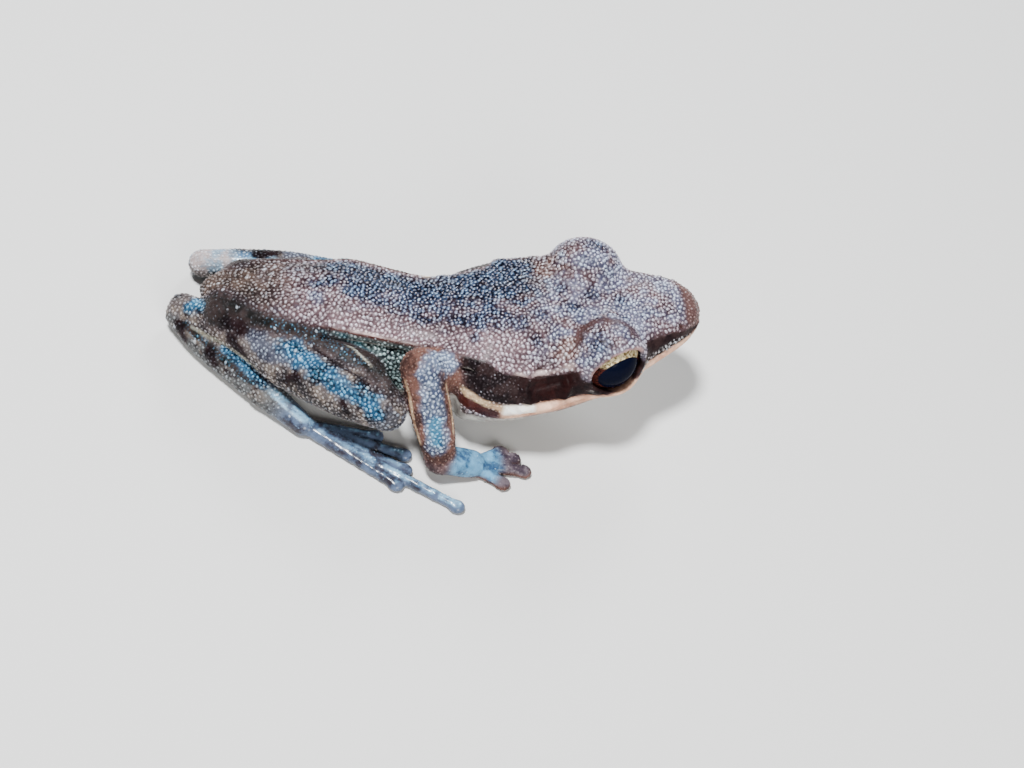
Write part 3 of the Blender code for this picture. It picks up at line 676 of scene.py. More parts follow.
# Markings on the limbs: region, limb part, places as the share of its length and the turn outward
# from its top in degrees, and half width in millimetres
LIMB_MARKS = (
    ("lilac", "shank", ((0.42, 24), (0.52, 42), (0.6, 30)), 0.8),
    ("blue", "shank", ((0.46, 6), (0.37, 14), (0.27, 26), (0.2, 28), (0.13, 27), (0.06, 30)), 0.95),
    ("blue", "shank", ((0.06, 30), (0.03, 52)), 0.75),
    ("blue", "shank", ((0.91, 0), (0.93, 14)), 0.8),
    ("bars", "shank", ((0.36, 58), (0.4, 76)), 0.6),
    ("bars", "shank", ((0.68, 24), (0.75, 8)), 0.75),
    ("bars", "shank", ((0.16, 62), (0.12, 84)), 0.4),
    ("bars", "shank", ((0.7, 60), (0.62, 84)), 0.5),
    ("bars", "shank", ((0.62, -24), (0.43, -25), (0.27, -12), (0.11, -6)), 0.25),
    ("bars", "tarsus", ((0.45, 40), (0.55, 70)), 0.5),
    ("bars", "tarsus", ((0.1, 50), (0.2, 80)), 0.5),
    ("blue", "tarsus", ((0.55, -4), (0.8, 4), (1.0, 12)), 0.5),
    # Painted highlight: bright cyan patches on the forearms and at the heel ends of the shanks
    ("glow", "forearm", ((0.5, 22), (0.62, 27), (0.72, 32)), 0.5),
    ("glow", "shank", ((0.91, 2), (0.93, 10)), 0.4),
    ("spark", "thigh", ((0.28, 20), (0.45, 14), (0.6, 8), (0.78, 6)), 0.5),
    ("spark", "tarsus", ((0.15, 35), (0.9, 35)), 0.3),
    ("ridge", "shank", ((0.9, 96), (0.78, 98), (0.66, 98), (0.56, 100)), 0.2),
    ("ridge", "tarsus", ((0.1, -10), (0.4, -16), (0.7, -24), (1.0, -30)), 0.16),
    # The thin pale line along the thigh's top edge is a painted rim highlight
    ("ridge", "thigh", ((0.6, -6), (0.7, -10), (0.82, -12)), 0.08),
    ("streak", "forearm", ((0.05, 84), (0.2, 80), (0.45, 88), (0.75, 96)), 0.2),
    ("streak", "forearm", ((0.2, -48), (0.46, -46), (0.7, -40)), 0.22),
    ("streak", "upper_arm", ((1.0, -40), (0.8, -70), (0.6, -90)), 0.14),
    ("arm_top", "forearm", ((0.0, 12), (0.1, 11), (0.27, 14), (0.42, 20), (0.6, 26), (0.75, 34)), 0.9),
    ("arm_top", "upper_arm", ((1.0, 20), (0.9, 12), (0.78, 8)), 1.0),
)


# Edges in the head frame, as forward of the eyes and up: between the top and the side of the head,
# the lower edge of the dark stripe before the eye, and the upper edge of the pale lip
HEAD_EDGE = ((-12.0, 1.0), (-8.9, 0.85), (-5.7, 0.75), (-3.7, 0.85), (-2.4, 0.65), (0.0, 0.0),
             (2.4, 0.7), (3.4, 0.65), (4.9, 0.55), (6.5, 0.3), (8.2, -0.3), (8.6, -0.5))
STRIPE_EDGE = ((2.4, -0.5), (3.9, -0.3), (5.3, -0.15), (7.0, -0.4), (8.6, -0.95))
LIP_EDGE = ((-12.6, 0.4), (-11.9, -0.4), (-10.9, -0.8), (-9.6, -1.25), (-8.4, -1.45), (-4.4, -1.4),
            (-1.8, -1.5), (0.2, -1.45), (2.4, -1.05), (4.3, -0.9), (6.6, -0.68), (8.6, -0.65))

# Right edge of the mottled part of the back, from its middle, and its single spots: place and size
MOTTLE_EDGE = ((8.0, -0.1), (10.0, -0.6), (14.0, -1.2), (16.6, -1.6), (20.0, -1.9), (25.0, -2.1))
SPOTS = ((30.2, 2.3, 0.8), (28.9, 0.7, 0.8), (29.8, 6.4, 1.0), (27.7, 2.3, 0.7), (21.9, -3.7, 0.55),
         (26.6, -3.2, 0.55), (26.5, -0.7, 0.9), (32.6, 2.2, 0.6), (25.0, 3.6, 0.7), (31.2, -3.4, 0.8),
         (33.0, 0.4, 0.6), (24.9, -2.0, 1.0))


def find_regions(space, fields, places, normals):
    """How much each region covers each corner of the skin, and each part's share of it."""
    x, y, z = places.T
    local = (places - np.array(HEAD_PLACE)) @ np.stack(head_axes()).T
    forward, left, up = local.T
    kinds = {}
    for name, field in fields.items():
        kind = kind_of(name)
        kinds[kind] = np.minimum(kinds.get(kind, FAR), sample(space, field, places))
    least = np.min(list(kinds.values()), axis=0)
    share = {kind: np.exp(-(value - least) / 0.12) for kind, value in kinds.items()}
    total = sum(share.values())
    share = {kind: value / total for kind, value in share.items()}
    torso, head = share["torso"], share["head"]
    body = torso + head

    # The dorsolateral fold parts the back from the side
    across = y - trunk_line(x)
    crest = [(at, away, section_top(TRUNK, TRUNK_POWER, at, away)) for at, away in TRUNK_FOLD]
    trunk_side = np.maximum(np.abs(across) - curve_at(crest, x), curve_at(crest, x, 2) - z)
    far_nape = smooth(left, 0, 3) * fall(forward, -8.5, -6.0)
    head_side = curve_at(HEAD_EDGE, forward) - up - 1.2 * far_nape
    on_head = smooth(forward - 2.2 * smooth(left, 0, 4), -10.5, -8.5)
    side = trunk_side * (1 - on_head) + head_side * on_head
    lip_up = curve_at(LIP_EDGE, forward)
    mouth = curve_at(HEAD, forward, 3)
    below = smooth(-normals[:, 2], 0.05, 0.5)
    fold = nearest(places, map(fold_rows, SIDES))
    side = side - smooth(across, 2, 4) * band(x, 17, 25, 1.5)
    rough = 0.14 * wander(places, 0.8, 1) + 0.12 * wander(places, 0.33, 2)
    cloud = 0.7 * wander(places, 1.5, 3) + 0.5 * wander(places, 0.6, 4)
    fine = 0.6 * wander(places, 0.9, 5) + 0.6 * wander(places, 0.42, 6)
    inner = 1 - smooth(side, -0.7, 0.0)

    found = {}

    def widen(name, cover):
        """Add a patch to a region."""
        found[name] = np.maximum(found.get(name, 0.0), cover)

    # Back, side and head
    found["back"] = body
    cool = smooth(0.6 * cloud + 0.5 * fine + 0.55 * smooth(x, 20, 32), 0.1, 0.75)
    found["cool"] = body * cool * inner * 0.8
    near_fold = smooth(np.abs(across) + 0.5 * cloud, 1.6, 3.0) * smooth(x, 6, 11) * fall(x, 25, 28)
    right_side = 1 - 0.8 * smooth(across, -1.5, 0.5)
    found["flush"] = body * near_fold * fall(side, 0.1, 0.3) * right_side
    # Painted shade: the back grows darker along its far side
    far_side_shade = smooth(across + 0.6 * cloud, -0.2, 1.8) * band(x, 7.0, 26.5, 2.0)
    found["far_side_shade"] = body * far_side_shade * inner * 0.9
    middle = smooth(across - curve_at(MOTTLE_EDGE, x), -0.9, 0.8) * band(x, 8, 25.5, 2.0)
    mottle = smooth(0.85 * middle + 0.5 * cloud + 0.5 * fine, 0.22, 1.0)
    for spot_x, spot_y, size in SPOTS:
        gone = np.hypot(x - spot_x, y - spot_y) / size + 0.5 * cloud + 0.5 * fine
        mottle = np.maximum(mottle, 0.8 * smooth(-gone, -1.2, -0.3))
    found["mottle"] = body * mottle * inner * smooth(normals[:, 2], 0.1, 0.3) * 0.9
    found["rump"] = torso * fall(x + cloud, 3.5, 8.5)
    found["snout"] = head * smooth(forward + 2.5 * rough, 6.5, 7.5)
    found["flank"] = torso * smooth(side, 0.15, 0.45) * band(x, 5.0, 20.5, 1.0)
    # Painted sheen: a teal patch on the flank
    sheen = smooth(cloud + band(x, 9, 14, 2.0), 0.5, 1.0) * band(z, 5.2, 8.0, 0.4)
    found["sheen"] = found["flank"] * sheen
    dark = smooth(side + rough * 0.6, -0.02, 0.16)
    dark = dark * smooth(up + rough * 0.5, lip_up - 0.05, lip_up + 0.1)
    dark = dark * smooth(forward - 1.5 * smooth(left, 0, 3), -13.4, -12.6)
    found["mask"] = body * dark
    found["ear"] = body * dark * smooth(forward + 2 * rough, -9.5, -4.5) * fall(forward, -4.4, 0.0)
    drum = np.hypot(forward + 5.0, (up + 0.5) * 1.1)
    found["drum"] = body * dark * fall(drum + rough, 0.6, 1.9) * 0.6
    found["stripe"] = head * dark * smooth(forward, 1.0, 2.0)
    below_stripe = smooth(curve_at(STRIPE_EDGE, forward) - up, -0.08, 0.08)
    found["loreal"] = head * below_stripe * dark * smooth(forward, 2.2, 2.8)
    lip = band(up, -9, lip_up, 0.07) * smooth(up, mouth - 1.0, mouth - 0.5)
    found["lip"] = head * lip * smooth(forward, -9.2, -8.6)
    stripe = band(up, lip_up - 0.85, lip_up, 0.1) * smooth(np.abs(left), 2.5, 3.5)
    found["gland"] = body * stripe * band(forward, -8.7, -6.2, 0.2)
    thin = stripe * smooth(up, lip_up - 0.72, lip_up - 0.55)
    found["cord"] = body * thin * band(forward, -13.2, -8.7, 0.2)
    # Dark maroon band under the cord: partly the skin's own tone, partly painted shade below the jaw's
    # edge
    fade = 0.3 + 0.5 * smooth(lip_up - up, 0.9, 1.6)
    low_band = band(up, lip_up - 1.8, lip_up - 0.68, 0.1)
    found["band"] = body * low_band * band(forward, -13.5, -8.9, fade)
    throat = smooth(lip_up - 1.8 - up, -0.1, 0.1) * band(forward, -14.5, -8.2, 0.4)
    under = np.maximum(np.maximum(below, throat), smooth(-z, -2.6, -1.6))
    found["belly"] = body * under * (1 - lip * head) * (1 - found["band"])
    # Dark reddish strip in the groove under each fold: partly the skin's own dark edge, partly painted
    # shade
    under = smooth(-fold, -1.2, -0.85) * smooth(side, -0.1, 0.05)
    found["under_fold"] = body * under * fall(x, 22, 24) * smooth(x, 3.0, 5.0)
    found["fold"] = body * smooth(-fold + 0.5 * rough, -0.48, -0.3) * fall(side, 0.0, 0.12)
    # The far fold is painted less pale than the near one: painted shade
    found["fold"] *= 1 - 0.75 * smooth(across, 0.5, 2.5)
    # Painted shade: a dark line along the near lid's crease only
    crease = gone_from(places, head_path(LID_CREASE, "right", 20))
    found["crease"] = head * fall(crease + rough, 0.25, 0.85) * 0.85
    behind = np.hypot(forward + 3.2, np.abs(left) - 4.0) / 1.3 + 0.5 * fine
    found["rust"] = head * fall(behind, 0.5, 1.3) * smooth(up, 0.6, 1.0) * 0.8

    # Legs and arms
    found["thigh"], found["shank"] = share["thigh"], share["shank"]
    beyond = smooth(gone_from_ends(places, "tarsus", -1), 1.2, 3.4)
    found["tarsus"] = share["tarsus"] + share["foot"]
    found["foot"] = share["foot"] * beyond
    found["arm"] = share["upper_arm"] + share["forearm"] + share["hand"]
    spread = np.minimum(*[np.hypot(x - palm[0], y - palm[1]) for palm in PALM.values()])
    palm = 1 - 0.8 * smooth(spread + rough, 2.0, 3.0)
    found["hand"] = share["hand"] * smooth(z + 0.8 * rough, 0.38, 0.7) * palm
    marbled = smooth(fine + 0.35 * cloud, 0.0, 0.45)
    found["tan"] = (share["shank"] * 0.9 + share["tarsus"] * 0.7) * marbled
    limbs = 1 - body
    for which, part, spots, width in LIMB_MARKS:
        gone = nearest(places, [limb_line(part, name, spots) for name in SIDES])
        cover = limbs * smooth(-gone / width + (1.2 + 1.7 * width) * rough, -1.3, -0.5)
        widen(which, cover)
    found["knee"] = share["shank"] * smooth(-gone_from_ends(places, "shank", 0), -2.0, -1.0)
    found["web"] = share["foot"] * smooth(-z, -0.62, -0.4) * 0.7
    # Painted sheen and glints: pale blue-white lines along the tops of the feet, toes and fingers, and
    # a patch on the upper, lit side of the far shank
    gleam = nearest(places, [path([(*LIMBS["tarsus_" + name][-1][:2], 2.2), (*SOLE[name], 1.6),
                                   (*TOE_TIPS[name][3], 0.9)], 12) for name in SIDES])
    line = band(gleam + 0.2 * rough, 0.08, 0.38, 0.08) * smooth(fine + 0.6 * cloud, -0.7, 0.0)
    toes = nearest(places, [[(*SOLE[name], 1.4), (*tip, 0.9)]
                            for name in SIDES for tip in TOE_TIPS[name]])
    glint = fall(toes + 0.15 * fine, 0.12, 0.3) * smooth(fine + 0.5 * cloud, -0.2, 0.3)
    widen("gleam", share["foot"] * np.maximum(line, 0.8 * glint))
    knuckle = nearest(places, [[(*PALM[name], 0.9), (*tip, 0.85)] for name in SIDES
                               for tip in FINGER_TIPS[name][1:]])
    line = fall(knuckle + 0.2 * fine, 0.1, 0.3) * smooth(fine + 0.5 * cloud, -0.3, 0.3)
    widen("gleam", share["hand"] * line * 0.8)
    glare = gone_from(places, limb_line("shank", "left", ((0.88, -10), (0.7, -25))))
    lit = smooth(z, 1.2, 2.0)
    widen("gleam", share["shank"] * fall(glare + 0.5 * cloud, 0.3, 1.3) * lit)
    # Painted highlight: the far heel is paler on its upper, lit side
    heel = limb_line("shank", "left", ((1.0, 0), (0.92, 0)))
    near = 1 - smooth(gone_from(places, heel) + 0.6 * cloud, 0.9, 2.2)
    found["pale"] = (share["shank"] + share["tarsus"]) * near * lit

    # Lids, sockets, nostrils and mouth, with painted shade in the gap round each eyeball, under it, in
    # the nostrils and along the mouth
    for which in SIDES:
        out, level, upright = eye_axes(which)
        apart = places - eye_place(which)
        high = apart @ upright
        norm = np.hypot(apart @ level / OPENING[0], (high + OPENING_DROP) / OPENING[1])
        front = smooth(apart @ out, 0.2, 0.8)
        widen("lid", front * band(norm, 0.9, 1.32, 0.08) * smooth(up, 0.0, 0.6))
        widen("rim", front * band(norm + 0.2 * rough, 0.97, 1.17, 0.04) * smooth(high, 0.0, 0.9))
        reach = np.linalg.norm(apart, axis=1)
        widen("hollow_shade", 1 - smooth(reach, EYE_RADIUS + 0.08, EYE_RADIUS + 0.16))
        widen("hollow_shade", 0.7 * (front * band(norm, 0.9, 1.07, 0.03) * fall(high, -1.0, 0.0)))
        nostril = head_point(NOSTRIL[0], sign_of(which) * NOSTRIL[1], 0.2)
        near = np.linalg.norm(places - nostril, axis=1)
        widen("hollow_shade", 1 - smooth(near, 0.18, 0.32))
    gape = smooth(forward, -7.6, -7.0) * smooth(np.abs(left) + forward, 0, 1)
    widen("hollow_shade", head * bump(up - mouth + 0.25, 0.1) * gape)
    return found, share


def edges_of(faces):
    pairs = np.concatenate([faces[:, [i, (i + 1) % 4]] for i in range(4)])
    return np.unique(np.sort(pairs, axis=1), axis=0)


def relaxed(corners, faces, rounds):
    """Corners smoothed without shrinking: each round pulls them in, then lets them out."""
    pairs = edges_of(faces)
    count = np.bincount(pairs.ravel(), minlength=len(corners))[:, None]
    for _ in range(rounds):
        for pull in (0.5, -0.52):
            mean = summed(pairs[:, 0], corners[pairs[:, 1]], len(corners))
            mean += summed(pairs[:, 1], corners[pairs[:, 0]], len(corners))
            corners = corners + pull * (mean / count - corners)
    return corners


def normals_of(corners, faces):
    across = corners[faces[:, 2]] - corners[faces[:, 0]]
    down = corners[faces[:, 3]] - corners[faces[:, 1]]
    flat = np.cross(across, down)
    total = sum(summed(faces[:, i], flat, len(corners)) for i in range(4))
    return total / (np.linalg.norm(total, axis=1)[:, None] + 1e-12)


def largest(corners, faces):
    """Only the biggest closed surface."""
    pairs = edges_of(faces)
    label = np.arange(len(corners))
    while True:
        low = np.minimum(label[pairs[:, 0]], label[pairs[:, 1]])
        new = label.copy()
        np.minimum.at(new, pairs[:, 0], low)
        np.minimum.at(new, pairs[:, 1], low)
        new = new[new]
        if np.array_equal(new, label):
            break
        label = new
    names, sizes = np.unique(label, return_counts=True)
    keep = label == names[np.argmax(sizes)]
    number = np.cumsum(keep) - 1
    return corners[keep], number[faces[keep[faces[:, 0]]]]


def add_object(name, data):
    thing = bpy.data.objects.new(name, data)
    bpy.context.scene.collection.objects.link(thing)
    return thing


def new_piece(name, corners, faces, mat):
    """A smooth-shaded mesh object, from corners in millimetres in the skin's frame."""
    mesh = bpy.data.meshes.new(name)
    mesh.from_pydata(((corners - CENTRE) * MILLIMETRE).tolist(), [], faces)
    mesh.shade_smooth()
    mesh.materials.append(mat)
    return add_object(name, mesh)


# What an attribute is called in Blender, by how many numbers each corner has
LAYERS = {1: ("FLOAT", "value"), 3: ("FLOAT_VECTOR", "vector"), 4: ("FLOAT_COLOR", "color")}


def add_layer(mesh, name, values):
    """Numbers, ways or colours of a mesh's corners, as an attribute."""
    kind, field = LAYERS[values.size // len(values)]
    layer = mesh.attributes.new(name, kind, "POINT")
    layer.data.foreach_set(field, values.astype(np.float32).ravel())


def make_skin(mat):
    """The whole animal's skin, with its regions painted as attributes."""
    space = Space(*SKIN_BOX, STEP)
    fields = all_fields(space)
    field = whole_skin(space, fields)
    for side in SIDES:
        field = open_eye(space, field, side)
    corners, faces = largest(*surface(space, field))
    corners = relaxed(corners, faces, 2)
    corners[:, 2] = np.maximum(corners[:, 2], 0)
    found, share = find_regions(space, fields, corners, normals_of(corners, faces))
    count = len(corners)
    numbers = {"grain": np.ones(count), "wet": np.zeros(count), "pearl": np.zeros(count)}
    tones = {name: np.tile(tone(*shade), (count, 1))
             for name, shade in zip(("ground", "second", "grain_tone"), REGIONS["back"][3:])}
    for name, values in REGIONS.items():
        cover = np.clip(found[name], 0, 1)
        for layer, value in zip(numbers.values(), values):
            layer += cover * (value - layer)
        for layer, shade in zip(tones.values(), values[3:]):
            layer += cover[:, None] * (tone(*shade) - layer)
    numbers["zone"] = np.where(share["head"] > 0.5, 1, np.where(share["torso"] > 0.5, 0, 2))
    skin = new_piece("skin", corners, faces.tolist(), mat)
    for name, layer in tones.items():
        add_layer(skin.data, name, np.hstack([layer, np.ones((count, 1))]))
    for name, layer in numbers.items():
        add_layer(skin.data, name, layer)
    return skin


def unwrap(thing):
    """A map of the skin's own shape, which the grains take their places in the bake from."""
    bpy.context.view_layer.objects.active = thing
    thing.select_set(True)
    bpy.ops.object.mode_set(mode="EDIT")
    bpy.ops.mesh.select_all(action="SELECT")
    bpy.ops.uv.smart_project(angle_limit=math.radians(66), island_margin=0.001)
    bpy.ops.object.mode_set(mode="OBJECT")
    thing.select_set(False)
    thing.data.uv_layers.active.name = "unwrap"


class Wires:
    """Adds nodes to a tree and joins them."""

    def __init__(self, tree):
        self.tree = tree

    def put(self, socket, value):
        """Link an output to a socket, or set its plain value."""
        if isinstance(value, bpy.types.NodeSocket):
            self.tree.links.new(value, socket)
        else:
            socket.default_value = (*value, 1) if socket.type == "RGBA" else value

    def node(self, kind, inputs=(), **settings):
        """A new node, with its inputs given in order or by name."""
        made = self.tree.nodes.new(kind)
        for name, value in settings.items():
            setattr(made, name, value)
        for name, value in inputs.items() if isinstance(inputs, dict) else enumerate(inputs):
            self.put(made.inputs[name], value)
        return made

    def math(self, operation, *values):
        return self.node("ShaderNodeMath", values, operation=operation).outputs[0]

    def product(self, first, *others):
        for value in others:
            first = self.math("MULTIPLY", first, value)
        return first

    def length(self, level, upright):
        return self.math("SQRT", self.math("ADD", self.product(level, level),
                                           self.product(upright, upright)))

    def vector(self, operation, inputs):
        return self.node("ShaderNodeVectorMath", inputs, operation=operation).outputs[0]

    def step(self, value, low, high, to_low=0.0, to_high=1.0):
        """Smooth step from low to high, put out between two other values."""
        inputs = (value, low, high, to_low, to_high)
        return self.node("ShaderNodeMapRange", inputs, interpolation_type="SMOOTHSTEP").outputs[0]

    def mix(self, share, first, second, way="MIX"):
        inputs = {0: share, 6: first, 7: second}
        return self.node("ShaderNodeMix", inputs, data_type="RGBA", blend_type=way).outputs[2]

    def shaded(self, colour, shade):
        """A colour times a number."""
        grey = self.node("ShaderNodeCombineColor", (shade,) * 3)
        return self.mix(1.0, colour, grey.outputs[0], "MULTIPLY")

    def noise(self, place, scale, detail=2.0, roughness=0.5):
        inputs = {"Vector": place, "Scale": scale, "Detail": detail, "Roughness": roughness}
        return self.node("ShaderNodeTexNoise", inputs).outputs["Fac"]

    def cells(self, place, scale):
        """Distance from the middle of the nearest cell."""
        return self.node("ShaderNodeTexVoronoi", {"Vector": place, "Scale": scale}).outputs["Distance"]

    def read(self, name, output="Fac"):
        """An attribute, in a material."""
        return self.node("ShaderNodeAttribute", attribute_name=name).outputs[output]

    def named(self, name, kind="FLOAT"):
        """An attribute, in a tree of Geometry Nodes."""
        made = self.node("GeometryNodeInputNamedAttribute", {"Name": name}, data_type=kind)
        return made.outputs["Attribute"]

    def store(self, geometry, name, value, kind, domain):
        inputs = {"Geometry": geometry, "Name": name, "Value": value}
        made = self.node("GeometryNodeStoreNamedAttribute", inputs, data_type=kind, domain=domain)
        return made.outputs["Geometry"]

    def millimetres(self):
        """Object coordinates in millimetres."""
        place = self.node("ShaderNodeTexCoord").outputs["Object"]
        return self.vector("SCALE", {0: place, "Scale": 1000})


def new_tree(name, kind, inputs, outputs):
    """A node group, its wires and the sockets inside it, from their names, kinds and values."""
    tree = bpy.data.node_groups.new(name, kind)
    for way, sockets in (("INPUT", inputs), ("OUTPUT", outputs)):
        for label, sort, *value in sockets:
            made = tree.interface.new_socket(label, in_out=way, socket_type="NodeSocket" + sort)
            if value:
                made.default_value = value[0]
    w = Wires(tree)
    return tree, w, w.node("NodeGroupInput").outputs, w.node("NodeGroupOutput").inputs


def new_material(name, values):
    """A material, its wires and its shader's sockets, with plain values on some of them."""
    mat = bpy.data.materials.new(name)
    mat.use_nodes = True
    w = Wires(mat.node_tree)
    sockets = mat.node_tree.nodes["Principled BSDF"].inputs
    for label, value in values.items():
        w.put(sockets[label], value)
    return mat, w, sockets


def skin_marks():
    """Colour, roughness and height of the skin, which the skin and its grains share."""
    tree, w, given, result = new_tree(
        "skin marks", "ShaderNodeTree",
        (("Patch Scale", "Float", 0.6), ("Grain Scale", "Float", 4.2), ("Fleck Scale", "Float", 1.5),
         ("Grain Cover", "Float", 0.2), ("Gap Shade", "Float", 0.6), ("Tip Paleness", "Float", 0.0)),
        (("Colour", "Color"), ("Grain Colour", "Color"), ("Roughness", "Float"), ("Height", "Float")))
    place, grain = w.millimetres(), w.read("grain")
    patch = w.step(w.noise(place, given["Patch Scale"], 5.0, 0.62), 0.44, 0.6)
    colour = w.mix(patch, w.read("ground", "Color"), w.read("second", "Color"))
    colour = w.shaded(colour, w.step(w.noise(place, 2.1, 3.0), 0.3, 0.7, 0.82, 1.16))
    pebble = w.step(w.cells(place, given["Grain Scale"]), 0.1, 0.62, 1.0, 0.0)
    cover = w.product(pebble, grain, given["Grain Cover"])
    fleck = w.step(w.cells(place, given["Fleck Scale"]), 0.12, 0.2, 1.0, 0.0)
    fleck = w.product(fleck, w.step(grain, 0.2, 0.5))
    paleness = w.math("MAXIMUM", fleck, given["Tip Paleness"])
    pale = w.mix(paleness, w.read("grain_tone", "Color"), tone(232, 240, 252))
    gaps = w.math("SUBTRACT", 1.0, w.product(w.step(grain, 0.1, 0.8), given["Gap Shade"]))
    w.put(result["Colour"], w.mix(cover, w.shaded(colour, gaps), pale))
    w.put(result["Grain Colour"], w.mix(0.42, colour, pale))
    w.put(result["Roughness"], w.step(w.noise(place, 3.3), 0.3, 0.7, 0.24, 0.36))
    fine = w.product(w.noise(place, 9.0, 3.0), 0.35)
    w.put(result["Height"], w.math("MULTIPLY_ADD", pebble, w.math("ADD", grain, 0.15), fine))
    return tree


# Height of the skin's relief in metres
RELIEF = 0.00005


def marked_material(name, marks, grains, paleness=0.0):
    """The skin's material, or that of its grains, which are paler towards their tips."""
    mat, w, sockets = new_material(name, {
        "IOR": 1.8 if grains else 1.4, "Specular IOR Level": 0.5 if grains else 0.04,
        "Coat Weight": 0.0, "Coat Roughness": 0.2})
    shades = {"Gap Shade": 0.2 if grains else 0.6, "Tip Paleness": paleness}
    made = w.node("ShaderNodeGroup", shades, node_tree=marks).outputs
    colour = made["Colour"]
    if grains:
        # Grains are paler towards their tips, and more so for some at random: partly their own pale
        # tips, partly a painted highlight on each grain's top
        share = w.product(w.step(w.read("tip"), 0.1, 0.95, 0.3, 1.0),
                          w.step(w.read("luck"), 0.75, 1.15, 0.3, 1.0))
        colour = w.mix(share, colour, made["Grain Colour"])
        tint = w.mix(w.step(w.read("luck"), 0.8, 1.1), (1.0, 0.86, 0.84), (0.7, 0.88, 1.0))
        w.put(sockets["Specular Tint"], tint)
        w.put(sockets["Specular IOR Level"], w.step(w.read("grain"), 0.4, 1.0, 0.1, 0.9))
    else:
        w.put(sockets["Coat Weight"], w.read("wet"))
        relief = {"Strength": 0.8, "Distance": RELIEF, "Height": made["Height"]}
        w.put(sockets["Normal"], w.node("ShaderNodeBump", relief).outputs["Normal"])
    w.put(sockets["Base Color"], colour)
    w.put(sockets["Roughness"], made["Roughness"])
    return mat


# The pupil's middle and half size on the eyeball, as shares of its radius: level, then upright
PUPIL_PLACE = (0.0, -0.1)
PUPIL_SIZE = (0.72, 0.56)


def eye_material():
    """A dark level pupil in an iris that is gold above and maroon below, under a wet coat."""
    mat, w, sockets = new_material("eye", {
        "Roughness": 0.06, "IOR": 1.03, "Coat Weight": 0.03, "Coat Roughness": 0.03})
    level, upright = w.node("ShaderNodeSeparateXYZ", (w.read("look", "Vector"),)).outputs[:2]
    place = w.millimetres()
    waver = w.math("MULTIPLY_ADD", w.noise(place, 1.6, 3.0), 0.08, -0.04)
    shares = [w.math("DIVIDE", w.math("SUBTRACT", way, middle), half)
              for way, middle, half in zip((level, upright), PUPIL_PLACE, PUPIL_SIZE)]
    reach = w.math("ADD", w.length(*shares), waver)
    net = w.step(w.noise(place, 5.5, 4.0, 0.65), 0.46, 0.56)
    gold = w.mix(net, tone(222, 208, 164), tone(118, 98, 66))
    maroon = w.mix(net, tone(72, 34, 28), tone(34, 16, 16))
    high = w.math("ADD", upright, w.product(level, 0.22))
    iris = w.mix(w.step(w.math("ADD", high, waver), 0.2, 0.34), maroon, gold)
    colour = w.mix(w.step(reach, 0.97, 1.01), tone(8, 11, 26), iris)
    colour = w.mix(w.step(w.length(level, upright), 0.9, 0.99), colour, tone(36, 20, 18))
    w.put(sockets["Base Color"], colour)
    return mat


def make_eye(side, mat):
    """An eyeball with a slightly raised cornea, and where each corner looks as an attribute."""
    rings, spokes = 40, 64
    out, level, upright = eye_axes(side)
    turned = np.arange(spokes) * 2 * math.pi / spokes
    across = np.cos(turned)[:, None] * level + np.sin(turned)[:, None] * upright
    ways = [out[None]]
    for value in np.linspace(0, math.pi, rings + 1)[1:-1]:
        ways.append(math.cos(value) * out + math.sin(value) * across)
    ways = np.concatenate(ways + [-out[None]])
    bulge = 1 + 0.03 * np.exp(-(np.arccos(np.clip(ways @ out, -1, 1)) / 0.8) ** 4)
    corners = eye_place(side) + EYE_RADIUS * bulge[:, None] * ways
    faces = []
    last = len(corners) - 1
    for index in range(spokes):
        following = (index + 1) % spokes
        faces.append((0, 1 + index, 1 + following))
        faces.append((last, last - spokes + following, last - spokes + index))
        for ring in range(rings - 2):
            near, far = 1 + ring * spokes, 1 + (ring + 1) * spokes
            faces.append((near + index, far + index, far + following, near + following))
    if np.dot(np.cross(level, upright), out) < 0:
        faces = [face[::-1] for face in faces]
    eye = new_piece("eyeball_" + side, corners, faces, mat)
    add_layer(eye.data, "look", np.stack([ways @ level, ways @ upright, ways @ out], axis=1))
    return eye


# Sockets of the grains' tree: spacing and size in metres, length and height as shares of the size,
# the zone of the skin, whether these are the few larger pearls, and the seed
GRAIN_SOCKETS = (
    ("Geometry", "Geometry"), ("Spacing", "Float", 0.00027), ("Grain Size", "Float", 0.000158),
    ("Grain Length", "Float", 1.22), ("Grain Height", "Float", 0.56), ("Zone", "Int", 0),
    ("Pearls", "Float", 0.0), ("Seed", "Int", 3))

# Most grains to a square metre, half the width of a grain's patch on the skin's map, and the least
# and most of the chance in a grain's size
MOST_GRAINS = 60000000
GRAIN_PATCH = 0.0015
LUCK = (0.72, 1.15)


